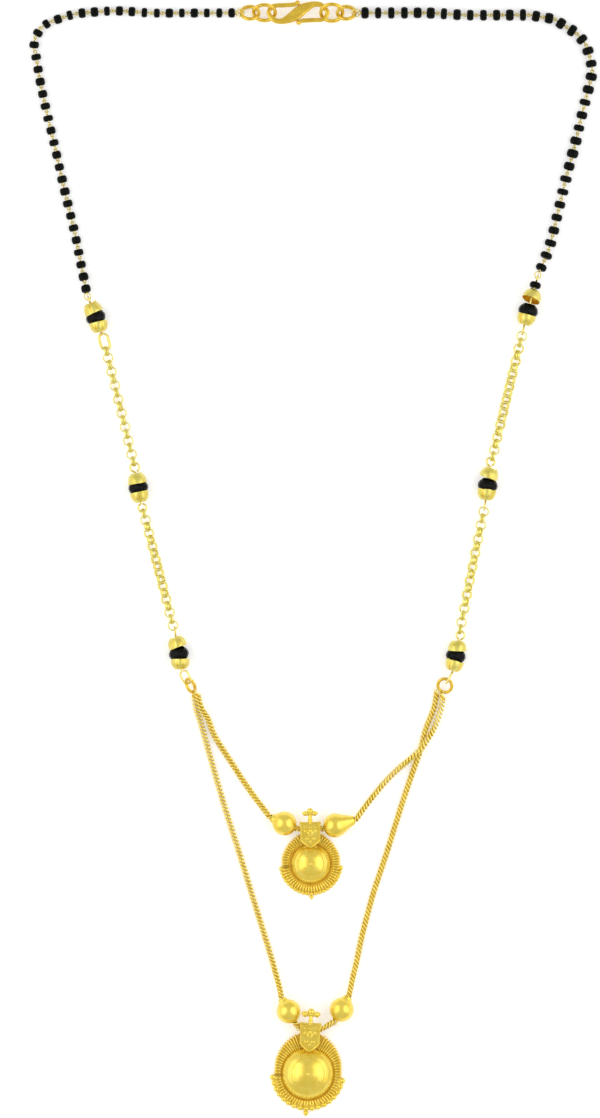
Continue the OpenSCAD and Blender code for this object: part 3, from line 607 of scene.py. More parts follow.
def makeBlackBead(name, bead):
    obj = makeObject("blackBead." + name, onBead(cutBead(), bead), cutGlass, 5)
    bevel = obj.modifiers.new("worn facet edges", "BEVEL")
    bevel.width = beadSizes["worn"] * mm
    bevel.segments = 2
    bevel.limit_method = "ANGLE"
    bevel.angle_limit = math.radians(8)
    piece(obj, "black_glass", "black_bead_" + name)


# petals, depth of the grooves between them, scallop of the mouth, flare of the crown at the end, wrinkles
capLooks = {
    "upper_left_1": (9, 0.16, 0.03, 0.62, 0.05), "lower_left_1": (8, 0.18, 0.05, 0.12, 0.04),
    "upper_left_2": (8, 0.06, 0.02, 0.1, 0.01), "lower_left_2": (7, 0.16, 0.04, 0.0, 0.03),
    "upper_left_3": (9, 0.12, 0.03, 0.2, 0.05), "lower_left_3": (9, 0.16, 0.03, 0.0, 0.04),
    "upper_right_1": (8, 0.04, 0.03, 0.05, 0.02), "lower_right_1": (5, 0.17, 0.1, 0.0, 0.02),
    "upper_right_2": (8, 0.08, 0.03, 0.3, 0.03), "lower_right_2": (5, 0.2, 0.28, 0.0, 0.01),
    "upper_right_3": (7, 0.02, 0.02, 0.05, 0.01), "lower_right_3": (5, 0.18, 0.16, 0.0, 0.02),
}


def capShape(look, seed):
    # the cap's shape, and for each column of its faces whether a crease runs there, where painted shade goes
    s = beadSizes
    deep = s["capEnd"] - s["capMouth"]
    petals, groove, scallop, flare, wrinkle = look
    # share of the radius and of the depth, up the outside and down the inside
    skin = [(1.0, 0), (1.015, 0.05), (1.01, 0.2), (0.985, 0.4), (0.92, 0.6), (0.81, 0.77), (0.7, 0.88),
            (0.6 + 0.15 * flare, 0.94), (0.57 + 0.26 * flare, 0.975), (0.56 + 0.3 * flare, 1.0),
            (0.45 + 0.3 * flare, 1.0), (0.38 + 0.1 * flare, 0.965), (0.2, 0.95), (0.2, 0.9), (0.44, 0.84),
            (0.66, 0.74), (0.82, 0.55), (0.91, 0.35), (0.93, 0.12), (0.93, 0.0), (1.0, 0)]
    profile = [(r * s["capRadius"], s["capMouth"] + z * deep) for r, z in skin]
    random = np.random.default_rng(seed)
    dents = random.uniform(-1, 1, (3, 2))
    shift = random.uniform(0, 1)

    def ripple(angle, r, z):
        share = min(max((z - s["capMouth"]) / deep, 0), 1)
        lobe = abs(math.cos(petals * angle / 2 + shift)) ** 0.45
        sag = 0.02 * sum(a * math.cos((k + 2) * angle + 3 * b) for k, (a, b) in enumerate(dents))
        fold = math.sin(17 * angle + 5 * shift) * share ** 2
        mouth = -scallop * (lobe - 0.6) * (1 - share) ** 2
        crown = 0.16 * flare * share ** 6 * math.cos(petals * angle / 2 + 2 * shift)
        return groove * (0.35 + share) * (lobe - 0.85) + sag + wrinkle * fold, mouth + crown + sag

    middles = (np.arange(s["capSides"]) + 0.5) / s["capSides"]
    shadedCreaseColumns = np.abs(np.cos(petals * math.pi * middles + shift)) < s["crease"]
    return lathe(profile, s["capSides"], ripple), shadedCreaseColumns


def makeCap(name, bead, upper, seed):
    s = beadSizes
    name = ("upper_" if upper else "lower_") + name
    lean = bead["lean"][0 if upper else 1]
    slide = (bead["slide"] if upper else 0) + s["leanSlide"] * abs(lean)
    pivot = s["capEnd"] / 2
    shape, shadedCreaseColumns = capShape(capLooks[name], seed)
    shape = moved(shape, place=(0, 0, -pivot))
    shape = moved(shape, rotation("Y", -lean if upper else lean), (0, 0, pivot - s["capEnd"]))
    tip = s["capTip"] if upper and bead["seed"] else 0
    shape = moved(shape, rotation("X", -tip), (0, 0, s["capEnd"] + slide))
    if not upper:
        shape = outward((shape[0] * [1, 1, -1], shape[1]))
    cap = makeObject("cap." + name, onBead(shape, bead), capGold, 50)
    # a darker gold for painted shade inside the cap and in its creases
    cap.data.materials.append(paintedShadeGold)
    grooved = capLooks[name][1] > s["leastGroove"]
    for face in cap.data.polygons:
        # rows of faces follow the profile, and those past the rim at its end are inside; these and the faces
        # in creases get the darker gold as painted shade
        row, column = divmod(face.index, s["capSides"])
        paintedCreaseShade = grooved and shadedCreaseColumns[column] and row in s["creaseRows"]
        face.material_index = 1 if row > s["outsideRows"] or paintedCreaseShade else 0
    piece(cap, "cap_gold", "cap_" + name)


def eyePath(eye, neck, double=False):
    # the wire from the pin's lower end round the eye, in the bead's frame with its axis along z
    hole, stretch, roll, swing = eye
    pin, half = beadSizes["pin"], eyeHalf(eye)
    r = (hole + pin) / 2
    # from the neck down one side, round and up the other, until the end touches the neck
    loop = []
    for first, last, lift in ((104, 180, stretch / 2), (180, 360, -stretch / 2), (360, 440, stretch / 2)):
        for angle in range(first, last + 1, 12):
            point = (r * math.cos(math.radians(angle)), 0, r * math.sin(math.radians(angle)) + lift)
            if not loop or point != loop[-1]:
                loop.append(point)
    if double:
        # the wire goes round twice, the two turns side by side
        loop = np.vstack([loop + np.array([0, -pin / 2, 0]), loop + np.array([0.2, pin / 2, -0.16])])
    path = np.vstack([[[0, 0, half + 0.06]], loop]) @ rotation("Z", roll).T - [0, 0, half]
    return path @ rotation("Y", -swing).T - [0, 0, neck]


def makePin(name, bead):
    upper, lower = necks(bead)
    # the upper eye is a lower one's mirror image
    top = eyePath(bead["eyes"][0], upper) * [1, 1, -1]
    bottom = eyePath(bead["eyes"][1], lower, name == "left_1")
    shaft = [(0, 0, z) for z in np.linspace(upper + 0.02, -lower - 0.02, 8)]
    section = roundSection(beadSizes["pin"] / 2, 14)
    wires = [sweep(line, section) for line in (smoothPath(top, 2), shaft, smoothPath(bottom, 2))]
    pin = makeObject("eyePin." + name, onBead(joined(wires), bead), wireGold, 60)
    piece(pin, "wire_gold", "eye_pin_" + name)


for number, (name, bead) in enumerate(cappedBeads.items()):
    makeBlackBead(name, bead)
    makeCap(name, bead, True, beadSizes["upperSeed"] + number)
    makeCap(name, bead, False, beadSizes["lowerSeed"] + number)
    makePin(name, bead)
print("capped beads made")


# Rolo chains between the capped beads: round band links, each square to the next

rolo = {
    "outer": 2.5, "wall": 0.27, "linkWall": 0.32, "width": 0.9, "linkRoom": 0.27, "eyeRoom": 0.33,
    # the run over which a chain comes down from an eye, jitter of the roll in degrees and first seed
    "drop": 12, "jitter": 5, "seed": 3,
    # capped beads above and below, and twist in degrees
    "chains": {
        "left_upper": ("left_1", "left_2", 6), "left_lower": ("left_2", "left_3", 38),
        "right_upper": ("right_1", "right_2", -40), "right_lower": ("right_2", "right_3", 32)},
}


def bandRing(middle, halfWall, halfWidth, power, count, sides):
    # a ring turned from a rounded section about z
    section = [(middle + u, v) for u, v in superEllipse(halfWall, halfWidth, power, count)]
    return lathe(section + section[:1], sides)


def makeRoloChain(name, upperName, lowerName, twist, seed):
    upper, lower = cappedBeads[upperName], cappedBeads[lowerName]
    a, b = eyeCentre(upper, 1), eyeCentre(lower, 0)
    whole = np.linalg.norm(b - a)
    inner = rolo["outer"] / 2 - rolo["wall"]
    eyes = upper["eyes"][1], lower["eyes"][0]
    start, end = [(hole + stretch) / 2 + inner - rolo["eyeRoom"] for hole, stretch, _, _ in eyes]
    # a link in an eye that faces up stands upright, and the count of links has to suit both eyes
    facesUp = [roll == 0 for _, _, roll, _ in eyes]
    count = math.ceil((whole - start - end) / (2 * inner - rolo["linkRoom"])) + 1
    count += (count + (facesUp[0] == facesUp[1])) % 2
    middle = rolo["outer"] / 2
    path = []
    for s in np.linspace(start, whole - end, count):
        raised = sum((1 - min(d / rolo["drop"], 1)) ** 2 for d in (s, whole - s))
        x, y, _ = a + (b - a) / whole * s
        path.append((x, y, middle + (beadSizes["radius"] - middle) * raised))
    wall = rolo["linkWall"]
    shape = bandRing(middle - wall / 2, wall / 2, rolo["width"] / 2, 2.8, 12, 28)
    chain = strung("roloChain." + name, path, makeObject("rolo link", shape, chainGold, 60), count, seed,
                   math.pi / 2 if facesUp[0] else 0.0, math.pi / 2, twist, (rolo["jitter"], 0.0, 0.0))
    piece(chain, "chain_gold", "rolo_chain_" + name)


for number, (name, ends) in enumerate(rolo["chains"].items()):
    makeRoloChain(name, *ends, rolo["seed"] + number)
print("rolo chains made")


# Junction rings below the lowest capped beads

junction = {
    # outer diameter, wire and seam of the rings, and of the small ones that hang the strands on them
    "ring": (4.1, 0.8, 140), "link": (1.75, 0.3, 20),
    "slack": 0.3, "strandGap": 0.42, "linkShift": 0.12,
    # bead, turn from +Y, pitch, roll
    "left": ("left_3", 31, 8, 60), "right": ("right_3", -30, 18, 0),
}


def junctionPlace(side):
    # middle of the ring, and the point below it that the strands start beside
    name, turn, pitch, _ = junction[side]
    hole, stretch = cappedBeads[name]["eyes"][1][:2]
    outer, wire, _ = junction["ring"]
    r = (outer - wire) / 2
    c, s = math.cos(math.radians(pitch)), math.sin(math.radians(pitch))
    reach = r * c + (hole + stretch - wire) / 2 - junction["slack"]
    centre = eyeCentre(cappedBeads[name], 1) - reach * upLine(turn) - [0, 0, r * s]
    return centre, centre - (outer / 2 * c + junction["strandGap"]) * upLine(turn)


for side in bothSides:
    _, turn, pitch, roll = junction[side]
    spin = rotation("Z", turn) @ rotation("X", pitch) @ rotation("Y", roll)
    shape = moved(wireRing(*junction["ring"]), spin, junctionPlace(side)[0])
    piece(makeObject("junctionRing." + side, shape, claspGold), "clasp_gold", "junction_ring_" + side)


# Fine chains: tight leaning links that look like a rope, from ring to ring through the balls and the bail

fine = {
    "diameter": 1.5, "pitch": 0.9, "lean": 45, "jitter": 2, "seeds": {"inner_chain": 21, "outer_chain": 22},
    # half length, half height and wire of the links, and of the smaller ones deeper in the chain
    "link": (0.88, 0.53, 0.37), "deepLink": (0.72, 0.42, 0.34),
    # each strand's start: how far to the right of its junction's middle and lift, and its route as x, y and
    # lift, the lifts in chain diameters above lying on the surface
    "upper_left": ((0.4, 1.15), [
        (-26.2, -35.2, 0.9), (-24.6, -38, 0.25), (-23.5, -41, 0), (-22, -43.7, 0), (-19.2, -48, 0),
        (-16.5, -52.2, 0.05), (-14, -55.8, 0.4), (-12, -58.4, 0.9)]),
    "lower_left": ((-0.4, 0), [
        (-27.5, -35.2, 0), (-26.6, -38, 0), (-25, -43.7, 0), (-22.6, -52.2, 0), (-20.1, -60.6, 0),
        (-17.4, -69, 0), (-14.8, -77.6, 0), (-12.2, -86, 0), (-9.9, -93.5, 0.1), (-8.6, -98.2, 0.5),
        (-7.8, -101.2, 0.95)]),
    "upper_right": ((0.78, 0.5), [
        (30.1, -35.3, 0.5), (28.6, -39.6, 0.5), (27, -42.4, 1.05), (25.5, -44.6, 1.25), (23.4, -46.7, 1.05),
        (20.1, -49.5, 0.15), (17.3, -52.2, 0.05), (14.9, -55, 0.3), (12.5, -58, 0.9)]),
    "lower_right": ((-0.78, 0), [
        (28.4, -35.3, 0), (26.7, -39.6, 0), (25.9, -42.4, 0), (25.4, -44.6, 0), (24.7, -46.7, 0),
        (23.7, -49.5, 0), (20.9, -57.8, 0), (17.4, -69, 0), (15.4, -75, 0), (13.7, -80.4, 0),
        (11.5, -88.8, 0), (10.3, -94.5, 0.2), (9.4, -98.2, 0.6), (8.9, -100.5, 0.95)]),
}

balls = {
    "diameter": 5.7, "bore": 0.86, "neckWall": 0.13, "clearIn": 0.4, "clearOut": 0.1,
    # x, y, heading to the bail, neck reach as a share of the diameter, where the neck leaves as a share of
    # the radius, hollow of the neck and engraved lines
    "upper_left": (-6.7, -62.3, -23, 0.59, 0.8, 0.22, 0),
    "upper_right": (5.2, -62.75, 196, 0.82, 0.55, 0.06, 0),
    "lower_left": (-5.7, -106.4, -62, 0.6, 0.8, 0.22, 5),
    "lower_right": (6.7, -106, 243, 0.6, 0.75, 0.2, 0),
}

pendants = {
    "bailZ": 2.6, "bailLength": 4.2, "bailBore": 0.8, "bailWall": 0.45, "mouthGap": 0.2, "finial": 1.4,
    "shieldWidth": 5.2, "shieldThick": 0.6, "shieldTop": 1.7,
    "rimHeight": 1.0, "ribWidth": 0.46, "ribLift": 0.12,
    # degrees beside +Y where the neck leaves no room for ribs, and the width of the strap from rim to bail
    "neckAngle": 20, "strap": 3.2,
    # half of the shield's edge: shares of its half width and length, from the top's middle to the point
    "shieldEdge": [(0, -0.035), (0.45, -0.04), (0.8, -0.015), (1, 0), (0.95, -0.06), (0.92, -0.14),
                   (0.9, -0.4), (0.93, -0.7), (0.8, -0.765), (0.45, -0.9), (0.12, -0.99), (0, -1)],
    # petals of the bud and its leaves, both sides alike: place, half width and half length as shares of
    # the shield's half width and length, and turn in degrees
    "petals": [(0, -0.42, 0.2, 0.17, 0), (0.2, -0.46, 0.13, 0.15, -28), (0.46, -0.36, 0.15, 0.09, 20),
               (0.3, -0.66, 0.2, 0.07, -35), (0, -0.78, 0.12, 0.08, 0), (0.52, -0.18, 0.09, 0.035, 0),
               (0, -0.2, 0.12, 0.045, 0)],
    "upper": {
        "at": (-0.5, -71.8), "turn": 1, "bailY": 8.3, "rim": 6.7, "dome": (4.7, 2.6), "shield": 6.3,
        "granule": 0.95, "granules": 21, "spread": 1.1, "lobe": 1.0, "ribs": 62, "skirt": 0.62,
        "shoulder": [(0.99, 0.22), (0.9, 0.46), (0.76, 0.68), (0.6, 0.84), (0.47, 0.95), (0.38, 1.03)]},
    "lower": {
        "at": (-1.2, -121.1), "turn": -3, "bailY": 10.5, "rim": 7.8, "dome": (6.1, 3.2), "shield": 7.1,
        "granule": 1.2, "granules": 17, "spread": 1.45, "lobe": 1.22, "ribs": 72, "skirt": 0.4,
        "shoulder": [(0.98, 0.29), (0.91, 0.54), (0.8, 0.75), (0.67, 0.91), (0.52, 1.04), (0.41, 1.12),
                     (0.33, 1.19)]},
}


def ballPlace(name):
    return np.array([*balls[name][:2], balls["diameter"] / 2])


def ballEnds(name):
    # where the chain runs in at the neck, and where it comes out towards the bail
    towards, d = heading(balls[name][2]), balls["diameter"]
    return (ballPlace(name) - (balls[name][3] * d + balls["clearIn"]) * towards,
            ballPlace(name) + (d / 2 + balls["clearOut"]) * towards)


def strand(side, name):
    # from the junction to the ball
    d = fine["diameter"]
    (apart, lift), route = fine[name]
    start = junctionPlace(side)[1] * [1, 1, 0] + [0, 0, d * (0.5 + lift)] + apart * heading(junction[side][1])
    return smoothPath([start] + [(x, y, d / 2 + z * d) for x, y, z in route] + [ballEnds(name)[0]], 6)


def chainPath(which):
    p = pendants[which]
    mouth = pendants["bailLength"] / 2 + pendants["mouthGap"]
    turn, place = rotation("Z", p["turn"]), [*p["at"], pendants["bailZ"]]
    bail = [turn @ [x, p["bailY"], 0] + place for x in (-mouth, mouth)]
    left, right = which + "_left", which + "_right"
    # the right strand runs from the ball back to its junction
    back = strand("right", right)[::-1]
    path = np.vstack([strand("left", left), [ballEnds(left)[1], *bail, ballEnds(right)[1]], back])
    path[:, 2] = np.maximum(path[:, 2], fine["diameter"] / 2)
    return path


def leaningLink(halfLength, halfHeight, wire, material):
    # an upright oval of wire at a slant to the run of the chain
    t = np.linspace(0, 2 * math.pi, 16, endpoint=False)
    path = np.c_[halfLength * np.cos(t), np.zeros(16), halfHeight * np.sin(t)]
    shape = moved(sweep(path, roundSection(wire / 2, 8), closed=True), rotation("Z", fine["lean"]))
    return makeObject("leaning link", shape, material, 60)


def makeFineChain(node, path):
    # every other link is a smaller one, half a pitch on and deeper in the chain, in a darker gold as painted
    # shade
    count = round(distances(path)[-1] / fine["pitch"]) + 1
    name = node.replace("_chain", "Chain")
    seed, jitter = fine["seeds"][node], (fine["jitter"], 0.0, 0.0)
    shortened = np.array(path)
    for end, inside in ((0, 1), (-1, -2)):
        shortened[end] += unit(path[inside] - path[end]) * fine["pitch"] / 2
    # the darker gold on the deeper links stands in for shade
    deep = leaningLink(*fine["deepLink"], paintedChainShadeGold)
    piece(strung(name + "Inside", shortened, deep, count - 1, seed, jitter=jitter), "fine_chain_gold")
    link = leaningLink(*fine["link"], fineChainGold)
    piece(strung(name, path, link, count, seed, jitter=jitter), "fine_chain_gold", node)


chainPaths = {"inner_chain": chainPath("upper"), "outer_chain": chainPath("lower")}
for node, path in chainPaths.items():
    makeFineChain(node, path)


def makeStrandLinks():
    # small rings that hang the strands on the junction rings
    shapes = []
    for side, end in (("left", 0), ("right", -1)):
        centre = junctionPlace(side)[0]
        for path in chainPaths.values():
            towards = unit(path[end] - centre)
            place = centre + towards * (junction["ring"][0] / 2 + junction["linkShift"])
            upright = np.cross(towards, [0, 0, 1.0])
            turn = np.array([towards, unit(np.cross(upright, towards)), unit(upright)]).T
            shapes.append(moved(wireRing(*junction["link"], 8), turn, place))
    piece(makeObject("strandLinks", joined(shapes), wireGold), "wire_gold")


makeStrandLinks()
print("fine chains made")


# Balls: drilled, with a tapered neck where the chain runs in

def ballShape(reach, flank, hollow, lines):
    radius, bore = balls["diameter"] / 2, balls["bore"]
    reach, flank = reach * balls["diameter"], flank * radius
    neck = bore + balls["neckWall"]
    seat = math.sqrt(radius ** 2 - flank ** 2)
    profile = [(bore, -reach), (neck, -reach), (neck + 0.03, -reach + 0.12)]
    for t in np.linspace(0.15, 1, 8):
        bend = hollow * math.sin(math.pi * t)
        profile.append((neck + (seat - neck) * t - bend, -reach + (reach - flank) * t))
    # the hole at the other end has a rounded lip
    lip = bore + 0.12
    for a in np.linspace(-math.asin(flank / radius) + 0.1, math.acos(lip / radius), 26):
        profile.append((radius * math.cos(a), radius * math.sin(a)))
    end = math.sqrt(radius ** 2 - lip ** 2)
    profile += [(bore + 0.06, end + 0.03), (bore, end - 0.02), (bore, 0), (bore, -reach)]

    def ripple(angle, r, z):
        if r < bore + 0.1 or not lines or z < 0:
            return 0, 0
        # a few grooves cut into the side that faces the pendant
        wave = math.sin(lines * 2 * math.pi * z / radius)
        return -0.09 * max(0, wave) * max(0, math.cos(angle - 0.8)) ** 2, 0

    return lathe(profile, 72, ripple)


for name in ("upper_left", "upper_right", "lower_left", "lower_right"):
    turn = rotation("Z", balls[name][2]) @ rotation("Y", 90)
    shape = moved(ballShape(*balls[name][3:]), turn, ballPlace(name))
    piece(makeObject("ball." + name, shape, ballGold, 50), "ball_gold", "ball_" + name)
print("balls made")


# Pendants: a domed boss on a ribbed rim, granules round its lower half, a tube bail behind a shield with
# a lotus bud in relief, and a finial of granules

def rimOutline(which):
    p = pendants[which]
    angles = np.radians(np.linspace(186, 354, 160))
    lower = p["rim"] * np.c_[np.cos(angles), np.sin(angles), np.zeros(160)]
    shoulder = [(x * p["rim"], y * p["rim"], 0) for x, y in p["shoulder"]]
    top = smoothPath([lower[-1]] + shoulder, 4)[1:]
    return np.vstack([lower, top, (top * [-1, 1, 1])[::-1]])


def rimPlate(which):
    # a plate with a rounded upper edge, hollowed a little under the dome's foot
    outline, height = rimOutline(which), pendants["rimHeight"]
    rings = [outline * [share, share, 0] + [0, 0, z] for share, z in (
        (0.97, 0.0), (1.0, 0.12), (1.0, height - 0.12), (0.985, height))]
    foot = outline / np.linalg.norm(outline, axis=1)[:, None] * (pendants[which]["dome"][0] + 0.25)
    rings += [foot + [0, 0, height], foot + [0, 0, height - 0.3]]
    return fanned(rings, [0, 0, 0], [0, 0, height - 0.3])


def domeHeight(which, r):
    radius, height = pendants[which]["dome"]
    capRadius = (radius ** 2 + height ** 2) / (2 * height)
    return pendants["rimHeight"] + height - capRadius + math.sqrt(capRadius ** 2 - r * r)


def domeShape(which):
    radius, rim = pendants[which]["dome"][0], pendants["rimHeight"]
    # two engraved circles, and a small tip in the middle
    line = 0.66 * radius
    profile = [(0.02, rim - 0.6), (radius - 0.05, rim - 0.6), (radius, rim - 0.5), (radius + 0.02, rim - 0.1)]
    for r in [*np.linspace(radius, 0.34, 44), 0.3, 0.2, 0.1, 0.02]:
        groove = math.exp(-((r - line) / 0.085) ** 2) + 0.6 * math.exp(-((r - line - 0.42) / 0.07) ** 2)
        profile.append((r, domeHeight(which, r) - 0.13 * groove + 0.2 * max(0, 1 - r / 0.32)))
    return lathe(profile, 128)


def shieldShape(length):
    # a plate with a raised border, its top edge rolled forward, and a lotus bud over two leaves
    edge, thick, w = pendants["shieldEdge"], pendants["shieldThick"], pendants["shieldWidth"] / 2
    outline = np.array([(x * w, y * length, 0.0) for x, y in edge + [(-x, y) for x, y in edge[-2:0:-1]]])
    middle = np.array([0, -0.45 * length, 0])

    def shrunk(share, z):
        return middle + (outline - middle) * share + [0, 0, z]

    rings = [shrunk(*row) for row in ((1.0, 0.0), (1.0, thick), (0.86, thick), (0.83, thick - 0.14))]
    lip = [(x, -0.01 * length + 0.12 * (abs(x) / 2.4) ** 2, thick) for x in np.linspace(-2.4, 2.4, 9)]
    shapes = [fanned(rings, middle, middle + [0, 0, thick - 0.1]),
              sweep(shrunk(0.94, thick - 0.02), roundSection(0.13, 8), closed=True),
              sweep(lip, roundSection(0.24, 10))]
    for x, y, halfWidth, halfLength, turn in pendants["petals"]:
        for side in (1, -1) if x else (1,):
            verts, faces = ball(1.0)
            petal = verts * [halfWidth * w, halfLength * length, 0.22], faces
            place = (side * x * w, y * length, thick - 0.08)
            shapes.append(moved(petal, rotation("Z", side * turn), place))
    return joined(shapes)


def finialShape(spread, fat):
    # a post, a bar across it and a lobe that comes to a point on each side, with granules on them
    d = pendants["finial"]
    stem, low = 1.9 * d, 1.5 * d
    post = [(0.25, -0.5 / d), (0.36, -0.4 / d), (0.36, 0.35), (0.43, 0.4), (0.43, 0.5), (0.33, 0.56),
            (0.3, 0.9), (0.34, 1.9)]
    arm = [(0.34 * d, -spread), (0.4 * d, -0.5 * spread), (0.44 * d, 0), (0.4 * d, 0.5 * spread),
           (0.34 * d, spread)]
    lobe = [(0.05, -0.5), (0.3, -0.38), (0.42, -0.15), (0.43, 0.05), (0.33, 0.3), (0.14, 0.5), (0.03, 0.56)]
    shapes = [moved(lathe(np.array(post) * d, 24), rotation("X", -90)),
              moved(lathe(arm, 18), rotation("Y", 90), (0, low, 0)),
              moved(ball(0.54 * d * fat ** 0.5, 24, 13), place=(0, stem, 0)),
              moved(ball(0.2 * d, 12, 7), place=(0, low, 0.42 * d))]
    verts, faces = lathe(np.array(lobe) * d, 20)
    for side in (-1, 1):
        spin = rotation("Z", 8 * side) @ rotation("Y", 90 * side)
        shapes += [moved((verts * [fat, fat, 1], faces), spin, (side * spread, low, 0)),
                   moved(ball(0.17 * d, 12, 7), place=(side * spread, low, 0.36 * d * fat))]
    return joined(shapes)


def bailShape(tubeY):
    # a tube with a raised band at each end
    bore, half = pendants["bailBore"], pendants["bailLength"] / 2
    outer = bore + pendants["bailWall"]
    band = [(outer - 0.05, half), (outer + 0.08, half - 0.1), (outer + 0.08, half - 0.32),
            (outer - 0.06, half - 0.42)]
    profile = [(bore, -half)] + [(r, -z) for r, z in band] + band[::-1] + [(bore, half), (bore, -half)]
    return moved(lathe(profile, 40), rotation("Y", 90), (0, tubeY, pendants["bailZ"]))


def strapShape(low, high, top):
    # joins the rim to the bail, its long edges rounded
    path = [(0, y, (top + 0.15) / 2) for y in np.linspace(low, high, 4)]
    return sweep(path, superEllipse(pendants["strap"] / 2, (top - 0.15) / 2, 5, 20))


def granuleShape(d):
    # sits on a collar and has a short root that runs in to the ribs
    root = sweep([(-0.95 * d, 0, 0.2 * d), (-0.5 * d, 0, 0.14 * d), (0, 0, 0)],
                 superEllipse(0.3 * d, 0.3 * d, 2.2, 10), scales=[(0.7, 0.7), (0.9, 0.9), (1, 1)])
    collar = lathe([(0.3 * d, -0.56 * d), (0.44 * d, -0.5 * d), (0.4 * d, -0.1 * d)], 14)
    return joined([ball(0.53 * d, 18, 11), collar, root])


def makePendant(which):
    p = pendants[which]
    turn, place = rotation("Z", p["turn"]), (*p["at"], 0)
    d, tubeY, top = p["granule"], p["bailY"], pendants["shieldTop"]
    # the shield leans on the bail's front, and its point on the dome
    restZ = pendants["bailZ"] + pendants["bailBore"] + pendants["bailWall"] - 0.1
    pointY = tubeY + top - p["shield"]
    spin = rotation("X", math.degrees(math.atan((restZ - domeHeight(which, pointY)) / (tubeY - pointY))))
    shieldPlace = spin @ [0, top, 0] + [0, tubeY, restZ]
    finialPlace = shieldPlace + spin @ [0, 0, pendants["shieldThick"] / 2]
    # the strip that carries the granules, and the tip below its middle
    ring = p["rim"] + 0.38 * d
    angles = np.radians(np.linspace(188, 352, 60))
    strip = np.c_[(ring - 0.2 * d) * np.cos(angles), (ring - 0.2 * d) * np.sin(angles), np.full(60, 0.4 * d)]
    body = joined([
        domeShape(which), moved(shieldShape(p["shield"]), spin, shieldPlace),
        moved(finialShape(p["spread"], p["lobe"]), place=finialPlace),
        bailShape(tubeY), strapShape(0.85 * p["rim"], tubeY - 0.9, pendants["bailZ"] - 0.3),
        sweep(strip, superEllipse(0.5 * d, 0.4 * d, 3, 12)),
        moved(ball(0.52 * d, 20, 11), place=(0, -ring - 0.84 * d, 0.58 * d)),
        moved(ball(0.26 * d, 14, 9), place=(0, -ring - 1.26 * d, 0.52 * d))])
    piece(makeObject("pendant." + which, moved(body, turn, place), pendantGold, 40), "pendant_gold",
          which + "_pendant")
    # the rim plate between the ribs takes the darker gold as painted shade
    piece(makeObject("rim." + which, moved(rimPlate(which), turn, place), paintedShadeGold, 40), "pendant_gold")

    common = {"Place": Vector(place) * mm, "Turn": math.radians(p["turn"])}
    granule = makeObject("granule", granuleShape(d), pendantGold, 60)
    piece(runTree("granules." + which, roundTree, [(0, 0, 0), (0, 0, 0.1)], granule, {
        **common, "Count": p["granules"], "Radius": ring * mm, "Height": 0.58 * d * mm,
        "From angle": math.radians(189), "Sweep": math.radians(162), "End size": 1.15}), "pendant_gold")
    w = pendants["ribWidth"] / 2
    bar = sweep([(0.0, 0, -0.3), (0.05, 0, -0.1), (0.16, 0, 0.0), (0.84, 0, 0.0), (0.94, 0, -0.1),
                 (0.98, 0, -0.35), (0.98, 0, -0.85)], superEllipse(w, w, 2, 10))
    outline = rimOutline(which)
    rib = makeObject("rib", bar, pendantGold, 60)
    piece(runTree("ribs." + which, ribTree, np.vstack([outline, outline[:1]]), rib, {
        **common, "Count": p["ribs"], "Inner radius": (p["dome"][0] + p["skirt"]) * mm,
        "Height": (pendants["rimHeight"] + pendants["ribLift"]) * mm,
        "Neck share": math.cos(math.radians(pendants["neckAngle"]))}), "pendant_gold")


makePendant("upper")
makePendant("lower")
print("pendants made")


# Bead strings: seed beads on short wires that end in a loop on each side, linked to each other

strings = {
    "left": {"diameter": 2.3, "length": 1.6, "pitch": 2.92, "foot": "left_1", "seed": 41,
             "route": [(-23, 128), (-30, 128), (-38, 128), (-46, 128.5), (-54, 128), (-57, 127.5),
                       (-60, 126.5), (-62.5, 125.5), (-64.5, 123.5), (-65.5, 120.5), (-65, 117.5),
                       (-64, 111.5), (-62.5, 104.5), (-60.5, 96), (-58.5, 87), (-56, 76.5), (-54.5, 69)]},
    "right": {"diameter": 2.75, "length": 1.7, "pitch": 3.1, "foot": "right_1", "seed": 42,
              "route": [(17, 128), (27, 128), (36, 127.5), (45, 127.5), (50.5, 127.5), (53.5, 127),
                        (56.5, 126.5), (59, 125), (62, 123), (64, 120.5), (65, 117.5), (65.5, 114.5),
                        (65, 111.5), (63.5, 105.5), (61.5, 97), (59.5, 89.5), (57.5, 81), (55.5, 73)]},
    "hole": 0.32, "loopOuter": 1.0, "wire": 0.3, "seatGap": 0.25, "endRoom": 0.1,
    # roll in degrees, size and length
    "beadJitter": (6, 0.05, 0.17), "wireJitter": (6, 0.0, 0.0),
    # small rings at the ends of a string: outer diameter and how far past the string's end
    "ringLink": (2.25, 0.45), "eyeLink": (1.95, 0.36), "linkWire": 0.28, "linkSeam": 200,
    # the seed bead on the pin of the highest cap on the right
    "pinSeed": {"diameter": 2.7, "length": 1.5, "lean": -8, "shift": 0.15},
}


def seedShape(bead):
    radius, hole = bead["diameter"] / 2, strings["hole"]
    shape = bandRing((radius + hole) / 2, (radius - hole) / 2, bead["length"] / 2, 2.1, 14, 18)
    return moved(shape, rotation("Y", 90))


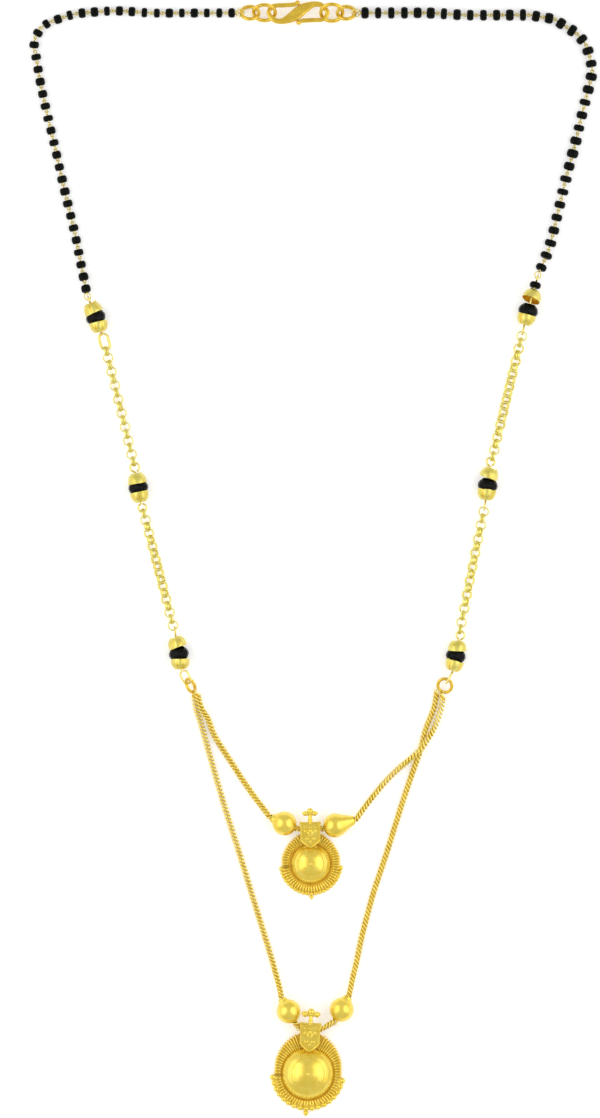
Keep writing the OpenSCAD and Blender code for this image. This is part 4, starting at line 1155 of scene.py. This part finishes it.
def wireShape(string):
    # a shaft with a closed loop at each end, the two loops in one plane, and a collar beside the bead
    wire = strings["wire"]
    r = (strings["loopOuter"] - wire) / 2
    centre = string["pitch"] / 2 - (r - wire / 2)
    angles = np.radians(np.linspace(170, 500, 22))
    loop = np.c_[centre + r * np.cos(angles), r * np.sin(angles), np.zeros(22)]
    line = np.vstack([[0, 0, 0], [centre - r - 0.15, 0, 0], loop])
    collar = lathe([(0.12, -0.1), (0.24, -0.07), (0.24, 0.07), (0.12, 0.1)], 10)
    shapes = []
    for side in (-1, 1):
        shapes += [sweep(line * [side, 1, 1], roundSection(wire / 2, 6)),
                   moved(collar, rotation("Y", 90), (side * (string["length"] / 2 + 0.1), 0, 0))]
    return joined(shapes)


def stringPath(side):
    string, sign = strings[side], -1 if side == "left" else 1
    middle = string["diameter"] / 2
    start = nodeCentre("clasp_ring_small_" + side)
    start[0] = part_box("clasp_ring_small_" + side)[sign > 0][0] / mm + sign * strings["seatGap"]
    bead = cappedBeads[string["foot"]]
    eye = bead["eyes"][0]
    foot = eyeCentre(bead, 0) + (eyeHalf(eye) + strings["seatGap"]) * upLine(bead["turn"] + eye[3])
    path = smoothPath([start] + [(x, y, middle) for x, y in string["route"]] + [foot], 6)
    path[:, 2] = np.maximum(path[:, 2], middle)
    return path, foot


def makeString(side):
    string = strings[side]
    path, foot = stringPath(side)
    beadPath = trimmed(path, string["pitch"] / 2 + strings["endRoom"])
    count = round(distances(beadPath)[-1] / string["pitch"]) + 1
    common = {"count": count, "seed": string["seed"], "step": math.pi / 2}
    bead = makeObject("seed bead", seedShape(string), seedGlass, 60)
    beads = strung("seedBeads." + side, beadPath, bead, jitter=strings["beadJitter"], **common)
    piece(beads, "seed_beads", "bead_string_" + side)
    wire = makeObject("seed wire", wireShape(string), wireGold, 60)
    piece(strung("seedWires." + side, beadPath, wire, jitter=strings["wireJitter"], **common), "wire_gold")
    # a small ring ties each end to the clasp and to the first pin
    shapes = []
    for end, inside, (size, shift) in ((path[0], beadPath[0], strings["ringLink"]),
                                       (foot, beadPath[-1], strings["eyeLink"])):
        along = unit(end - inside)
        across = unit(np.cross(along, [0, 0, 1.0]))
        up = np.cross(across, along)
        turn = np.array([along, unit(across + 0.5 * up), unit(up - 0.5 * across)]).T
        link = wireRing(size, strings["linkWire"], strings["linkSeam"], 10)
        shapes.append(moved(link, turn, end + shift * along))
    piece(makeObject("endLinks." + side, joined(shapes), wireGold), "wire_gold")
    print("string", side, "has", count, "beads")


def makePinSeed():
    # it sits above a tipped cap
    bead, seed = cappedBeads["right_1"], strings["pinSeed"]
    lean = rotation("X", seed["lean"]) @ rotation("Y", 90)
    middle = necks(bead)[0] - beadSizes["seedRoom"] / 2 + seed["shift"]
    shape = onBead(moved(seedShape(seed), lean, (0, 0, middle)), bead)
    piece(makeObject("pinSeed", shape, seedGlass, 60), "seed_beads")


makeString("left")
makeString("right")
makePinSeed()
print("bead strings made")


# Floor, light and camera

studio = {
    "floor": 0.9, "floorColor": (0.88, 0.88, 0.88, 1), "floorRoughness": 0.8, "floorGlow": 0.3,
    "worldStrength": 0.7,
    # distance to each side, height, length, width and power of the soft lights
    "sideLights": [(0.5, 0.32, 0.8, 0.45, 0.85), (0.27, 0.4, 0.4, 0.22, 0.3)],
}
white = (1, 1, 1, 1)


def makeFloor():
    half = studio["floor"] / 2
    mesh = bpy.data.meshes.new("floor")
    corners = [(-half, -half, 0), (half, -half, 0), (half, half, 0), (-half, half, 0)]
    mesh.from_pydata(corners, [], [(0, 1, 2, 3)])
    material, _, shader = newShader("pale floor")
    for key, value in (("Base Color", studio["floorColor"]), ("Roughness", studio["floorRoughness"]),
                       ("Emission Color", white), ("Emission Strength", studio["floorGlow"])):
        shader.inputs[key].default_value = value
    mesh.materials.append(material)
    addObject("floor", mesh)


def makeLights():
    lamps = [(side * x, *rest) for x, *rest in studio["sideLights"] for side in (-1, 1)]
    for number, (x, z, length, width, power) in enumerate(lamps):
        light = bpy.data.lights.new(f"soft side light {number}", "AREA")
        light.shape = "RECTANGLE"
        light.size, light.size_y = length, width
        light.energy = power
        lamp = addObject(light.name, light)
        lamp.location = (x, 0, z)
        lamp.rotation_euler = Vector((-x, 0, -z)).to_track_quat("-Z", "Y").to_euler()
    world = bpy.data.worlds.new("soft studio")
    world.use_nodes = True
    background = world.node_tree.nodes["Background"]
    background.inputs["Color"].default_value = white
    background.inputs["Strength"].default_value = studio["worldStrength"]
    bpy.context.scene.world = world
    bpy.context.scene.view_settings.view_transform = "Standard"


photo = {
    "width": 600, "height": 1118, "millimetresPerPixel": 0.235,
    "originPixel": (313, 558),   # where the frame's origin lies in the photograph
    "distance": 2.0, "sensor": 24,
}


def makeCamera():
    scale = photo["millimetresPerPixel"] * mm
    middleX = (photo["width"] / 2 - photo["originPixel"][0]) * scale
    middleY = (photo["originPixel"][1] - photo["height"] / 2) * scale
    data = bpy.data.cameras.new("copy stand camera")
    data.sensor_fit = "VERTICAL"
    data.sensor_height = photo["sensor"]
    data.lens = photo["sensor"] * photo["distance"] / (photo["height"] * scale)
    data.clip_end = 10
    camera = addObject(data.name, data)
    camera.location = (middleX, middleY, photo["distance"])
    bpy.context.scene.camera = camera


makeFloor()
makeLights()
makeCamera()
print("floor, lights and camera made")
